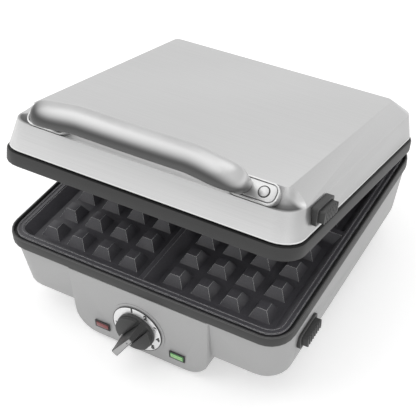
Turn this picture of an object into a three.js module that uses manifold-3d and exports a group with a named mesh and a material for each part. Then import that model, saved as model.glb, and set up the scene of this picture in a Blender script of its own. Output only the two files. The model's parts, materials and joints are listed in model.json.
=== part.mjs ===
// Belgian waffle maker: a heated base and a hinged lid, each with a removable grid plate.
// Millimetres, +Z up. X runs to the right, Y to the back, and the feet stand on Z = 0.
// The lid is modelled closed, in a group at the hinge axis that is turned open by restingAngle.
import * as THREE from 'three';
import { mergeVertices } from 'three/addons/utils/BufferGeometryUtils.js';
import Module from 'manifold-3d';

const wasm = await Module();
wasm.setup();

// Fits shared by the whole object
const seatGap = 0.3;
const runningGap = 0.5;
const overrun = 5;
const restingAngle = THREE.MathUtils.degToRad(14.5);

// Counts and angles of round forms
const cornerSteps = 6;
const roundSteps = 32;
const smallRoundSteps = 16;
const filletSteps = 3;

// Trim bands round the two grid plates
const bandWidth = 290;
const bandDepth = 299;
const bandCornerRadius = 23;
const lowerBandHeight = 12.2;
const upperBandHeight = 13;
const bandLipWidth = 2;
const bandLedgeReach = 9.5;
const bandEdgeRound = 2.4;
const bandLipRound = 0.7;
const closedBandGap = 1;

// Grid plates, measured from the face where the two bands meet
const plateInset = 5;
const plateRimDrop = 1.1;
const plateRimThickness = 3;
const plateRidgeHeight = 0.8;
const plateRidgeWidth = 1.6;
const outerRidgeInset = 5.4;
const innerRidgeInset = 9.5;
const plateBodyInset = 9.8;
const plateBackInset = 16;
const cavityInset = 12;
const cavityFloorInset = 19.5;
const cavityDepth = 12;
const plateWall = 3.2;
const studBase = 20;
const studTop = 9.8;
const studHeight = 9.7;
const studGapAtLongDivider = 4.6;
const studGapAtCrossDivider = 9.7;
const studGapAtSideWall = 6.1;
const studGapAtEndWall = 5.8;
const studsPerQuarterSide = 4;
const longDividerTop = 4;
const longDividerFoot = 18;
const crossDividerTop = 6;
const crossDividerFoot = 15;
const dividerDrop = 1.8;

// Plate tabs that the clips and the release latches hold
const tabThickness = 2.5;
const tabLength = 14;
const tabHeight = 10.5;
const tabWindowLength = 8;
const tabWindowHeight = 4.6;
const tabWindowDrop = 2;
const tabSideInset = 25.8;
const tabEndInset = 52.5;

// Heating elements and their reflectors
const elementDiameter = 7;
const elementSideInset = 61;
const elementEndInset = 59.5;
const elementBend = 26;
const elementLeadSpacing = 24;
const elementLeadDrop = 22;
const elementSides = 8;
const elementSteps = 84;
const reflectorSideInset = 40;
const reflectorEndInset = 37.5;
const reflectorRadius = 16;
const reflectorSheet = 1;
const reflectorDepth = 11;
const elementRestLength = 10;
const elementRestWidth = 6;
const reflectorEarWidth = 20;
const reflectorEarSheet = 1.2;
const reflectorEarStation = 50;

// Base housing and the control pedestal at its front
const footHeight = 4;
const housingUnderside = 29.3;
const lowerBandBottom = 79.5;
const housingOverhangSide = 1.2;
const housingOverhangFront = 3;
const housingDraft = Math.tan(THREE.MathUtils.degToRad(6));
const housingCornerRadius = 24;
const housingEdgeRound = 3;
const housingWall = 2.2;
const housingFlangeReach = 13;
const pedestalFrontInset = 1;
const pedestalDepth = 98.5;
const pedestalTopHalfWidth = 73.5;
const pedestalBottomHalfWidth = 71.5;
const pedestalCornerRadius = 24;
const pedestalEdgeRound = 2.4;
const pedestalWall = 2.5;
const reflectorPostRadius = 4;
const reflectorPostSideInset = 13;
const reflectorPostEndInset = 14;
const rearLegSideInset = 40;
const rearLegBackInset = 44.5;
const rearLegTopRadius = 15;
const rearLegFootRadius = 12;
const rearLegWall = 2.5;
const ventCount = 6;
const ventWidth = 4;
const ventLength = 26;
const ventPitch = 12;
const ventStation = 40;

// Pedestal bottom cover, its screws and the feet
const hatchHalfWidth = 38;
const hatchFrontInset = 26.5;
const hatchBackInset = 12;
const hatchCoverLap = 6;
const hatchCoverSheet = 1.8;
const screwHeadRadius = 3;
const screwHeadHeight = 1.4;
const screwShankRadius = 1.4;
const screwLength = 6;
const footRadius = 7.2;
const footStemRadius = 2.7;
const footStemLength = 5;
const frontFootSideInset = 35.5;
const frontFootFrontInset = 12;

// Dial, knob and thermostat
const dialHeight = 37.2;
const dialBossRadius = 28.4;
const dialBossHeight = 0.8;
const dialRingRadius = 25.3;
const dialRingBore = 14;
const dialRingThickness = 1.2;
const knobDiscRadius = 19;
const knobDiscThickness = 3;
const knobLobeRadius = 18.2;
const knobLobeHeight = 4;
const knobValleyWidth = 13;
const knobBladeHeight = 20;
const knobBladeBaseLength = 37.6;
const knobBladeCrestLength = 35;
const knobBladeTipBaseWidth = 6;
const knobBladeHeelBaseWidth = 10.4;
const knobBladeTipCrestWidth = 4.4;
const knobBladeHeelCrestWidth = 7;
const knobRestAngle = THREE.MathUtils.degToRad(55);
const pointerInset = 0.6;
const pointerThickness = 0.8;
const shaftRadius = 3;
const shaftDepthInKnob = 8;
const shaftDepthInThermostat = 9;
const bushingRadius = 5;
const thermostatWidth = 34;
const thermostatHeight = 40;
const thermostatDepth = 22;

// Signal lamps
const lampOffset = 40.3;
const lampHeight = 20;
const lampFrameWidth = 16.2;
const lampFrameHeight = 8.4;
const lampFrameThickness = 0.8;
const lampFrameRim = 1;
const lampNeckInset = 0.5;
const lampNeckDepth = 6;
const lampBulbRadius = 2.6;
const lampBulbLength = 16;

// Terminal block and cord gland
const terminalBlockWidth = 40;
const terminalBlockDepth = 16;
const terminalBlockHeight = 14;
const terminalBlockY = 22;
const terminalScrewRadius = 2.6;
const terminalScrewHeight = 2;
const terminalCount = 3;
const glandSideInset = 75;
const glandHeight = 50;
const glandBore = 4;
const glandNeckRadius = 6.2;
const glandFlangeRadius = 9;
const glandFlangeThickness = 2.5;

// Release buttons and their latches
const releaseFrameLength = 34;
const releaseFrameHeight = 16;
const releaseFrameRim = 2.4;
const releaseFrameCorner = 2.6;
const releaseSleeveWall = 1.2;
const releaseSleeveDepth = 16;
const releaseEndWall = 1.4;
const releasePadStand = 5.5;
const releasePadDepth = 7;
const releasePadCorner = 1.6;
const releaseRibCount = 8;
const releaseRibDepth = 0.8;
const latchArmLength = 6;
const latchArmHeight = 3.2;
const latchPostThickness = 4;
const latchPostClearance = 2.95;
const latchEngagement = 1.95;
const lowerReleaseDrop = 33;
const upperReleaseRise = 28.5;
const springWire = 0.9;
const springRadius = 4.6;
const springTurns = 4;
const springStepsPerTurn = 10;
const springSides = 5;
const clipPlateThickness = 2;
const clipPlateLength = 24;
const clipPlateHeight = 14;

// Lid cover
const coverGap = 1.2;
const coverBottomInset = 2.2;
const coverWallHeight = 24.3;
const coverTopRise = 15;
const coverShoulderSideInset = 7;
const coverTopSideInset = 22.5;
const coverShoulderFrontInset = 8;
const coverShoulderBackInset = 7;
const coverTopFrontInset = 11;
const coverTopBackInset = 32.5;
const coverBottomRadius = 21;
const coverShoulderRadius = 19;
const coverTopRadius = 6;
const coverSheet = 1.5;
const coveBackInset = 22;
const coveEdgeRise = 0.5;
const coveSag = 4.5;
const coveRunOut = 7;
const coveSteps = 48;
const coveTurnSteps = 5;
const coveRunOutSteps = 3;

// Handle
const handleRootInset = 8.4;
const handleRise = 33;
const handleThickness = 16;
const handleRootWidth = 14;
const handleNeckWidth = 16;
const handleArmWidth = 17.5;
const handleShoulderWidth = 23.5;
const handleMiddleWidth = 24.5;
const handleNeckDrop = 0.4;
const handleArmDrop = 2.6;
const handleShoulderDrop = 5.4;
const handleMiddleDrop = 2.1;
const handleArmLean = THREE.MathUtils.degToRad(11.5);
const handleArmReach = 45;
const handleSpanReach = 99;
const handleSteps = 20;
const handleSides = 18;
const handleNeckShare = 0.05;
const handleArmShare = 0.1;
const handleShoulderShare = 0.3;
const handleMiddleShare = 0.6;
const flangeEndInset = 5.5;
const flangeLength = 38;
const flangeWidth = 14.5;
const flangeCornerRadius = 5.5;
const flangeThickness = 2.4;
const mountGap = 0.9;
const mountRimWidth = 1.2;
const mountRimHeight = 2.4;
const mountStand = 1.2;
const capEndInset = 10;
const capRadius = 4.1;
const capRecessRadius = 5.1;
const capHeight = 2;
const capRecessDepth = 1.4;
const handleScrewRadius = 2;
const handleScrewLength = 14;

// Hinge
const hingeBehindBand = 8.6;
const hingeBelowLid = 6.5;
const hingePinRadius = 3;
const hingePinHeadRadius = 4.6;
const hingePinHeadLength = 1.8;
const hingeSideInset = 39;
const hingeArmWidth = 8;
const hingeEarWidth = 6;
const hingeEarRadius = 7.5;
const hingeKnuckleRadius = 6.2;
const bracketFoot = 52;
const bracketDepth = 9;
const armFootHeight = 9;

// Heights worked out from the sizes above
const lowerBandTop = lowerBandBottom + lowerBandHeight;
const housingTop = lowerBandBottom - seatGap;
const lidBottom = lowerBandTop + closedBandGap;
const hingeY = bandDepth / 2 + hingeBehindBand;
const hingeZ = lidBottom - hingeBelowLid;
const coverBottom = upperBandHeight + coverGap;
const coverShoulder = coverBottom + coverWallHeight;
const coverTop = coverShoulder + coverTopRise;
const plateBack = cavityDepth + plateWall;
const elementLevel = plateBack + seatGap + elementDiameter / 2;
const reflectorRimLevel = elementLevel + runningGap;
const reflectorFloorLevel = reflectorRimLevel + reflectorDepth;
const restLevel = elementLevel + elementDiameter / 2 + seatGap;
const noseLevel = plateBack + tabHeight - tabWindowDrop - tabWindowHeight / 2;
const noseHalfHeight = tabWindowHeight / 2 - runningGap;

// Places of the plates' studs and tabs
const lastStudX = bandWidth / 2 - cavityFloorInset - studGapAtSideWall - studBase / 2;
const lastStudY = bandDepth / 2 - cavityFloorInset - studGapAtEndWall - studBase / 2;
const firstStudX = (longDividerFoot + studBase) / 2 + studGapAtLongDivider;
const firstStudY = (crossDividerFoot + studBase) / 2 + studGapAtCrossDivider;
const studPitchX = (lastStudX - firstStudX) / (studsPerQuarterSide - 1);
const studPitchY = (lastStudY - firstStudY) / (studsPerQuarterSide - 1);
const tabOffset = bandWidth / 2 - tabSideInset;
const tabInside = tabOffset - tabThickness / 2;
const tabStation = bandDepth / 2 - tabEndInset;

// Half sizes of the heating elements and the reflectors, and the reflectors' posts
const elementHalfWidth = bandWidth / 2 - elementSideInset;
const elementHalfDepth = bandDepth / 2 - elementEndInset;
const reflectorHalfWidth = bandWidth / 2 - reflectorSideInset;
const reflectorHalfDepth = bandDepth / 2 - reflectorEndInset;
const reflectorPostX = reflectorHalfWidth - reflectorPostSideInset;
const reflectorPostY = reflectorHalfDepth - reflectorPostEndInset;

// Places on the lid cover
const coverShoulderHalfWidth = bandWidth / 2 - coverShoulderSideInset;
const coverTopHalfWidth = bandWidth / 2 - coverTopSideInset;
const coverShoulderFront = bandDepth / 2 - coverShoulderFrontInset;
const coverShoulderBack = bandDepth / 2 - coverShoulderBackInset;
const coverTopFront = bandDepth / 2 - coverTopFrontInset;
const coverTopBack = bandDepth / 2 - coverTopBackInset;
const coveBack = bandDepth / 2 - coveBackInset;
const flangeOuter = coverTopHalfWidth - flangeEndInset;
const flangeInner = flangeOuter - flangeLength;
const handleRootX = flangeInner + handleRootInset;
const capX = flangeOuter - capEndInset;

// Places of the release buttons and their latches
const releaseStation = tabStation;
const releaseFrameFace = bandWidth / 2;
const releaseSleeveEnd = releaseFrameFace - releaseSleeveDepth;
const releasePadFace = releaseFrameFace + releasePadStand;
const releasePadRoot = releaseFrameFace - releasePadDepth;
const latchPostFace = tabInside - latchPostClearance;
const latchPostInside = latchPostFace - latchPostThickness;
const latchNoseReach = tabInside + latchEngagement;

// Places on the base
const pedestalFront = bandDepth / 2 - pedestalFrontInset;
const pedestalBack = pedestalFront - pedestalDepth;
const hatchFront = pedestalFront - hatchFrontInset;
const hatchBack = pedestalBack + hatchBackInset;
const frontFootX = pedestalBottomHalfWidth - frontFootSideInset;
const frontFootY = pedestalFront - frontFootFrontInset;
const rearLegX = bandWidth / 2 - rearLegSideInset;
const rearLegY = bandDepth / 2 - rearLegBackInset;
const glandX = glandSideInset - bandWidth / 2;
const hingeX = bandWidth / 2 - hingeSideInset;

// Slopes of the lid's cover, and the upstand of the upper band that fits inside it
const coverSideSlope = (bandWidth / 2 - coverBottomInset - coverShoulderHalfWidth) / coverWallHeight;
const coverFrontSlope = (bandDepth / 2 - coverBottomInset - coverShoulderFront) / coverWallHeight;
const upstandHeight = reflectorRimLevel - seatGap - upperBandHeight;
const upstandFootInset = coverBottomInset + coverSheet + seatGap;
const upstandTopInset = upstandFootInset + (upstandHeight - coverGap) * coverFrontSlope;

// The cove along the lid's front edge: a round cut whose chord runs from the front wall to the top
const coveChordY = coverShoulderFront - coveBack;
const coveChordZ = coverTopRise - coveEdgeRise;
const coveChord = Math.hypot(coveChordY, coveChordZ);
const coveRadius = (coveChord ** 2 / 4 + coveSag ** 2) / (2 * coveSag);
const coveAngle = Math.atan2(coveChordZ, coveChordY);
const coveMiddleY = -(coverShoulderFront + coveBack) / 2;
const coveMiddleZ = coverTop - coveChordZ / 2;
const coveAxisRise = coveRadius - coveSag;
const coveAxisY = coveMiddleY - coveAxisRise * Math.sin(coveAngle);
const coveAxisZ = coveMiddleZ + coveAxisRise * Math.cos(coveAngle);
const coveTurnX = coverShoulderHalfWidth - coverShoulderRadius;
const coveTurnY = coverShoulderRadius - coverShoulderFront;
const coveTurnRadius = coveTurnY - coveAxisY;

// Places worked out from the sizes above
const lowerReleaseLevel = lowerBandTop - lowerReleaseDrop;
const footPlaces = [
  [-frontFootX, -frontFootY],
  [frontFootX, -frontFootY],
  [-rearLegX, rearLegY],
  [rearLegX, rearLegY],
];
const hatchScrewX = hatchHalfWidth + hatchCoverLap / 2;
const hatchScrewPlaces = [-hatchScrewX, hatchScrewX].flatMap((x) => [
  [x, -hatchFront - hatchCoverLap / 2],
  [x, -hatchBack + hatchCoverLap / 2],
]);

// Finishes
const finish = (color, roughness, metalness) => ({ color, roughness, metalness });
const brushedSteel = finish(0xcfcfcf, 0.35, 1);
const silverPaint = finish(0xb4b4b4, 0.45, 0.6);
const darkGrey = finish(0x4c4c4c, 0.55, 0);
const nonstick = finish(0x222126, 0.4, 0.3);
const blackPlastic = finish(0x242424, 0.5, 0);
const polishedMetal = finish(0xd8d8d8, 0.2, 1);
const galvanised = finish(0xa8acb0, 0.4, 1);
const blackRubber = finish(0x1c1c1c, 0.85, 0);
const palePlastic = finish(0xe4e0d4, 0.5, 0);
const whiteMetal = finish(0xe8e8e8, 0.35, 0.4);
const redLens = finish(0x9a3030, 0.2, 0);
const greenLens = finish(0x7fd06c, 0.2, 0);

// A closed geometry as a solid, with its faces turned outwards.
function solid(geometry) {
  const bare = geometry.clone();
  bare.deleteAttribute('normal');
  if (bare.attributes.uv) bare.deleteAttribute('uv');
  const merged = mergeVertices(bare);
  const points = merged.attributes.position.array;
  const faces = Uint32Array.from(merged.index.array);
  let volume = 0;
  const corner = [new THREE.Vector3(), new THREE.Vector3(), new THREE.Vector3()];
  for (let face = 0; face < faces.length; face += 3) {
    corner.forEach((vertex, side) => vertex.fromArray(points, 3 * faces[face + side]));
    volume += corner[0].dot(corner[1].clone().cross(corner[2]));
  }
  if (volume < 0) faces.reverse();
  return new wasm.Manifold(new wasm.Mesh({
    numProp: 3,
    vertProperties: Float32Array.from(points),
    triVerts: faces,
  }));
}

// A solid back as a geometry.
function geometryOf(body) {
  const mesh = body.getMesh();
  const geometry = new THREE.BufferGeometry();
  geometry.setAttribute('position', new THREE.BufferAttribute(mesh.vertProperties, 3));
  geometry.setIndex(new THREE.BufferAttribute(mesh.triVerts, 1));
  return geometry;
}

// Geometries joined to the first, then others cut from the result.
function build(parts, cuts = []) {
  let body = solid(parts[0]);
  for (const part of parts.slice(1)) body = body.add(solid(part));
  for (const cut of cuts) body = body.subtract(solid(cut));
  return geometryOf(body);
}

// A geometry moved by an offset.
function moved(geometry, x, y, z) {
  return geometry.clone().translate(x, y, z);
}

// A geometry turned over about the plane Z = 0.
function turnedOver(geometry) {
  const copy = geometry.clone().scale(1, 1, -1);
  return geometryOf(solid(copy));
}

// A box between two corners.
function block(x0, x1, y0, y1, z0, z1) {
  const geometry = new THREE.BoxGeometry(x1 - x0, y1 - y0, z1 - z0);
  return geometry.translate((x0 + x1) / 2, (y0 + y1) / 2, (z0 + z1) / 2);
}

// A round bar along Z between two heights, with its own radius at each end.
function barZ(radius, z0, z1, steps = smallRoundSteps, topRadius = radius) {
  const geometry = new THREE.CylinderGeometry(topRadius, radius, z1 - z0, steps);
  return geometry.rotateX(Math.PI / 2).translate(0, 0, (z0 + z1) / 2);
}

// A round bar along X between two places.
function barX(radius, x0, x1, steps = smallRoundSteps) {
  const geometry = new THREE.CylinderGeometry(radius, radius, x1 - x0, steps);
  return geometry.rotateZ(-Math.PI / 2).translate((x0 + x1) / 2, 0, 0);
}

// A round bar along Y between two places.
function barY(radius, y0, y1, steps = smallRoundSteps) {
  const geometry = new THREE.CylinderGeometry(radius, radius, y1 - y0, steps);
  return geometry.translate(0, (y0 + y1) / 2, 0);
}

// An outline in Y and Z, given as points, extruded along X.
function extrudeX(outline, x0, x1) {
  const shape = new THREE.Shape(outline.map(([y, z]) => new THREE.Vector2(y, z)));
  const geometry = new THREE.ExtrudeGeometry(shape, { depth: x1 - x0, bevelEnabled: false });
  const turn = new THREE.Matrix4().set(0, 0, 1, x0, 1, 0, 0, 0, 0, 1, 0, 0, 0, 0, 0, 1);
  return geometry.applyMatrix4(turn);
}

// An outline in X and Z, given as points, extruded along Y.
function extrudeY(outline, y0, y1) {
  const shape = new THREE.Shape(outline.map(([x, z]) => new THREE.Vector2(x, z)));
  const geometry = new THREE.ExtrudeGeometry(shape, { depth: y1 - y0, bevelEnabled: false });
  const turn = new THREE.Matrix4().set(1, 0, 0, 0, 0, 0, 1, y0, 0, 1, 0, 0, 0, 0, 0, 1);
  return geometry.applyMatrix4(turn);
}

// An outline in X and Y, given as points, extruded along Z.
function extrudeZ(outline, z0, z1) {
  const shape = new THREE.Shape(outline.map(([x, y]) => new THREE.Vector2(x, y)));
  const geometry = new THREE.ExtrudeGeometry(shape, { depth: z1 - z0, bevelEnabled: false });
  return geometry.translate(0, 0, z0);
}

// A round hole or disc outline as points.
function circle(radius, x, y, steps = smallRoundSteps) {
  return Array.from({ length: steps }, (_, step) => {
    const angle = 2 * Math.PI * step / steps;
    return [x + radius * Math.cos(angle), y + radius * Math.sin(angle)];
  });
}

// A rectangle with round corners, counter-clockwise, always with the same number of points.
function roundedRing(halfWidth, front, back, radius) {
  const corners = [
    [halfWidth - radius, back - radius],
    [radius - halfWidth, back - radius],
    [radius - halfWidth, front + radius],
    [halfWidth - radius, front + radius],
  ];
  return corners.flatMap(([x, y], quarter) => Array.from({ length: cornerSteps + 1 }, (_, step) => {
    const angle = (quarter + step / cornerSteps) * Math.PI / 2;
    return [x + radius * Math.cos(angle), y + radius * Math.sin(angle)];
  }));
}

// A ring of the trim bands' outline, drawn in by an inset, at a height.
function bandRing(inset, z) {
  const radius = bandCornerRadius - Math.min(inset, bandCornerRadius - bandLipWidth);
  const halfDepth = bandDepth / 2 - inset;
  return roundedRing(bandWidth / 2 - inset, -halfDepth, halfDepth, radius).map(([x, y]) => [x, y, z]);
}

// A closed skin through rings of equal point count, capped at both ends.
function loft(rings) {
  const count = rings[0].length;
  const faces = [];
  for (let ring = 0; ring < rings.length - 1; ring += 1) {
    for (let point = 0; point < count; point += 1) {
      const a = ring * count + point;
      const b = ring * count + (point + 1) % count;
      faces.push(a, b, b + count, a, b + count, a + count);
    }
  }
  const last = (rings.length - 1) * count;
  for (let point = 1; point < count - 1; point += 1) {
    faces.push(0, point + 1, point, last, last + point, last + point + 1);
  }
  const geometry = new THREE.BufferGeometry();
  const positions = Float32Array.from(rings.flat(2));
  geometry.setAttribute('position', new THREE.BufferAttribute(positions, 3));
  geometry.setIndex(faces);
  return geometry;
}

// A loft between rectangles in planes of constant Z, each given as half width, half depth and height.
function taperedBlock(sections) {
  return loft(sections.map(([halfX, halfY, z]) => [
    [halfX, -halfY, z],
    [halfX, halfY, z],
    [-halfX, halfY, z],
    [-halfX, -halfY, z],
  ]));
}

// Trim band: a lip round a ledge that carries the grid plate. Z = 0 is the face that meets the other band.
// The upper band also has an upstand that the lid's cover fits round.
function trimBand(height, upstandHeight) {
  const outer = loft([
    bandRing(bandEdgeRound, -height),
    bandRing(bandEdgeRound / 3, -height + bandEdgeRound / 3),
    bandRing(0, -height + bandEdgeRound),
    bandRing(0, -bandLipRound),
    bandRing(bandLipRound, 0),
  ]);
  const ledge = plateRimDrop + plateRimThickness + seatGap;
  const pocket = loft([bandRing(bandLipWidth, -ledge), bandRing(bandLipWidth, overrun)]);
  const low = -height - upstandHeight - overrun;
  const opening = loft([bandRing(bandLedgeReach, low), bandRing(bandLedgeReach, overrun)]);
  const parts = [outer];
  if (upstandHeight > 0) {
    parts.push(loft([
      bandRing(upstandTopInset, -height - upstandHeight),
      bandRing(upstandFootInset, -height - coverGap),
      bandRing(upstandFootInset, -height + coverGap),
    ]));
  }
  return build(parts, [pocket, opening]);
}

// Grid plate: a rim with two ridges, a tub with sloping walls, dividers and studs, and tabs below.
function gridPlate() {
  const rimTop = -plateRimDrop;
  const rimUnder = rimTop - plateRimThickness;
  const floor = -cavityDepth;
  const rim = loft([bandRing(plateInset, rimUnder), bandRing(plateInset, rimTop)]);
  const tub = loft([
    bandRing(plateBackInset, -plateBack),
    bandRing(plateBodyInset, rimUnder),
    bandRing(plateBodyInset, rimTop),
  ]);
  const cavity = loft([
    bandRing(cavityFloorInset, floor),
    bandRing(cavityInset, rimTop),
    bandRing(cavityInset, overrun),
  ]);
  let body = solid(rim).add(solid(tub)).subtract(solid(cavity));
  for (const inset of [outerRidgeInset, innerRidgeInset]) {
    const ridgeTop = rimTop + plateRidgeHeight;
    const outside = loft([bandRing(inset, rimTop - plateRidgeHeight), bandRing(inset, ridgeTop)]);
    const within = inset + plateRidgeWidth;
    const inside = loft([bandRing(within, rimTop - overrun), bandRing(within, overrun)]);
    body = body.add(solid(outside).subtract(solid(inside)));
  }
  const root = floor - plateWall / 2;
  const reach = Math.max(bandWidth, bandDepth) / 2 - cavityInset;
  const divider = (top, foot) => {
    const slope = (foot - top) / 2 / (cavityDepth - dividerDrop);
    const halfRoot = foot / 2 + slope * (floor - root);
    return [[-top / 2, -dividerDrop], [-halfRoot, root], [halfRoot, root], [top / 2, -dividerDrop]];
  };
  const long = solid(extrudeY(divider(longDividerTop, longDividerFoot), -reach, reach));
  const cross = solid(extrudeX(divider(crossDividerTop, crossDividerFoot), -reach, reach));
  body = body.add(long.add(cross).intersect(solid(tub)));
  const halfTop = studTop / 2;
  const halfBase = studBase / 2;
  const sink = plateWall / 2;
  const halfRoot = halfBase + (halfBase - halfTop) * sink / studHeight;
  const stud = taperedBlock([[halfRoot, halfRoot, floor - sink], [halfTop, halfTop, floor + studHeight]]);
  for (const sideX of [-1, 1]) {
    for (const sideY of [-1, 1]) {
      for (let column = 0; column < studsPerQuarterSide; column += 1) {
        for (let row = 0; row < studsPerQuarterSide; row += 1) {
          const x = sideX * (firstStudX + column * studPitchX);
          const y = sideY * (firstStudY + row * studPitchY);
          body = body.add(solid(moved(stud, x, y, 0)));
        }
      }
    }
  }
  for (const [x, y] of [[tabOffset, -tabStation], [-tabOffset, -tabStation], [-tabOffset, tabStation]]) {
    body = body.add(solid(moved(plateTab(), x, y, 0)));
  }
  return geometryOf(body);
}

// Tab below the plate with a window that a clip or a latch nose reaches into.
function plateTab() {
  const halfThickness = tabThickness / 2;
  const halfLength = tabLength / 2;
  const halfWindow = tabWindowLength / 2;
  const end = -plateBack - tabHeight;
  const sill = end + tabWindowDrop;
  const tab = block(-halfThickness, halfThickness, -halfLength, halfLength, end, -plateBack + plateWall / 2);
  const opening = block(-tabThickness, tabThickness, -halfWindow, halfWindow, sill, sill + tabWindowHeight);
  return build([tab], [opening]);
}

// Reflector: a sheet tray under the element with rests that carry it, and side ears if asked for.
function reflector(withEars) {
  const ring = (inset, z) => roundedRing(
    reflectorHalfWidth - inset,
    inset - reflectorHalfDepth,
    reflectorHalfDepth - inset,
    reflectorRadius - inset,
  ).map(([x, y]) => [x, y, z]);
  const under = -reflectorFloorLevel - reflectorSheet;
  const tray = solid(loft([ring(0, under), ring(0, -reflectorRimLevel)]));
  const hollow = loft([ring(reflectorSheet, -reflectorFloorLevel), ring(reflectorSheet, overrun)]);
  let body = tray.subtract(solid(hollow));
  const halfLength = elementRestLength / 2;
  const halfWidth = elementRestWidth / 2;
  const rest = block(-halfLength, halfLength, -halfWidth, halfWidth, under, -restLevel);
  const halfEar = reflectorEarWidth / 2;
  const rim = -reflectorRimLevel;
  const earRoot = reflectorHalfWidth - reflectorSheet / 2;
  const earEnd = bandWidth / 2 - upstandTopInset;
  const ear = block(earRoot, earEnd, -halfEar, halfEar, rim - reflectorEarSheet, rim);
  const leadHole = barZ(elementDiameter, under - overrun, -reflectorFloorLevel + reflectorSheet / 2);
  for (const side of [-1, 1]) {
    for (const end of [-1, 1]) {
      body = body.add(solid(moved(rest, side * elementHalfWidth, end * elementHalfDepth / 2, 0)));
      const earHere = moved(ear.clone().rotateZ(side > 0 ? 0 : Math.PI), 0, end * reflectorEarStation, 0);
      if (withEars) body = body.add(solid(earHere));
    }
    body = body.subtract(solid(moved(leadHole, side * elementLeadSpacing / 2, -elementHalfDepth, 0)));
  }
  return geometryOf(body);
}

// A path of straight runs with a round corner at each point that has a radius.
function filletedPath(points) {
  const path = new THREE.CurvePath();
  const places = points.map(([x, y, z]) => new THREE.Vector3(x, y, z));
  let from = places[0];
  for (let index = 1; index < points.length - 1; index += 1) {
    const corner = places[index];
    const radius = points[index][3];
    const before = places[index - 1].clone().sub(corner).setLength(radius).add(corner);
    const after = places[index + 1].clone().sub(corner).setLength(radius).add(corner);
    path.add(new THREE.LineCurve3(from, before));
    path.add(new THREE.QuadraticBezierCurve3(before, corner, after));
    from = after;
  }
  path.add(new THREE.LineCurve3(from, places[places.length - 1]));
  return path;
}

// A round tube along a path.
function tube(path, radius, sides, steps) {
  const shape = new THREE.Shape(circle(radius, 0, 0, sides).map(([x, y]) => new THREE.Vector2(x, y)));
  return new THREE.ExtrudeGeometry(shape, { steps, extrudePath: path, bevelEnabled: false });
}

// Heating element: one tube that follows the plate's edge, with both leads turned away at the front.
function heatingElement() {
  const level = -elementLevel;
  const leadEnd = level - elementLeadDrop;
  const lead = elementLeadSpacing / 2;
  const leadBend = elementDiameter;
  const corners = [
    [-lead, -elementHalfDepth, leadEnd, 0],
    [-lead, -elementHalfDepth, level, leadBend],
    [-elementHalfWidth, -elementHalfDepth, level, elementBend],
    [-elementHalfWidth, elementHalfDepth, level, elementBend],
    [elementHalfWidth, elementHalfDepth, level, elementBend],
    [elementHalfWidth, -elementHalfDepth, level, elementBend],
    [lead, -elementHalfDepth, level, leadBend],
    [lead, -elementHalfDepth, leadEnd, 0],
  ];
  return build([tube(filletedPath(corners), elementDiameter / 2, elementSides, elementSteps)]);
}

// Clip that reaches from the left wall through the window of a plate tab.
function plateClip(wallX) {
  const noseEnd = tabOffset - tabThickness / 2;
  const halfNose = tabWindowLength / 2 - runningGap;
  const near = -noseLevel + noseHalfHeight;
  const far = -noseLevel - noseHalfHeight;
  const halfPlate = clipPlateLength / 2;
  const low = near - clipPlateHeight;
  const plate = block(-wallX, clipPlateThickness - wallX, -halfPlate, halfPlate, low, near);
  const nose = block(-wallX, -noseEnd, -halfNose, halfNose, far, near);
  return build([plate, nose]);
}

// Half width of the base housing's outside at a height, on its sides or towards the back.
const housingHalfWidthAt = (z) => bandWidth / 2 - housingOverhangSide - (housingTop - z) * housingDraft;
const housingHalfDepthAt = (z) => bandDepth / 2 - housingOverhangFront - (housingTop - z) * housingDraft;

// A ring of the base housing's outside at a height, drawn in by an inset.
function housingRing(inset, z) {
  const halfDepth = housingHalfDepthAt(z) - inset;
  const radius = Math.max(housingCornerRadius - inset, housingWall);
  return roundedRing(housingHalfWidthAt(z) - inset, -halfDepth, halfDepth, radius).map(([x, y]) => [x, y, z]);
}

// The housing as a solid block, drawn in by a wall, with its lower edge rounded.
function housingBlock(wall, top) {
  const rings = [];
  for (let step = 0; step <= filletSteps; step += 1) {
    const angle = step / filletSteps * Math.PI / 2;
    const radius = housingEdgeRound - wall;
    const inset = wall + radius * (1 - Math.sin(angle));
    rings.push(housingRing(inset, housingUnderside + wall + radius * (1 - Math.cos(angle))));
  }
  rings.push(housingRing(wall, top));
  return loft(rings);
}

// The pedestal's outline seen from the front, drawn in by an inset, from the top right corner round.
function pedestalOutline(inset, top) {
  const radius = pedestalCornerRadius - inset;
  const centreX = pedestalBottomHalfWidth - pedestalCornerRadius;
  const centreZ = footHeight + pedestalCornerRadius;
  const right = [[pedestalTopHalfWidth - inset, top]];
  for (let step = 0; step <= cornerSteps; step += 1) {
    const angle = -step / cornerSteps * Math.PI / 2;
    right.push([centreX + radius * Math.cos(angle), centreZ + radius * Math.sin(angle)]);
  }
  const left = right.map(([x, z]) => [-x, z]).reverse();
  return [...right, ...left];
}

// The pedestal as a solid block with its front edge rounded.
function pedestalBlock() {
  const ring = (inset, y) => pedestalOutline(inset, housingTop).map(([x, z]) => [x, y, z]);
  return loft([
    ring(pedestalEdgeRound, -pedestalFront),
    ring(pedestalEdgeRound / 3, -pedestalFront + pedestalEdgeRound / 3),
    ring(0, -pedestalFront + pedestalEdgeRound),
    ring(0, -pedestalBack),
  ]);
}

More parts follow.
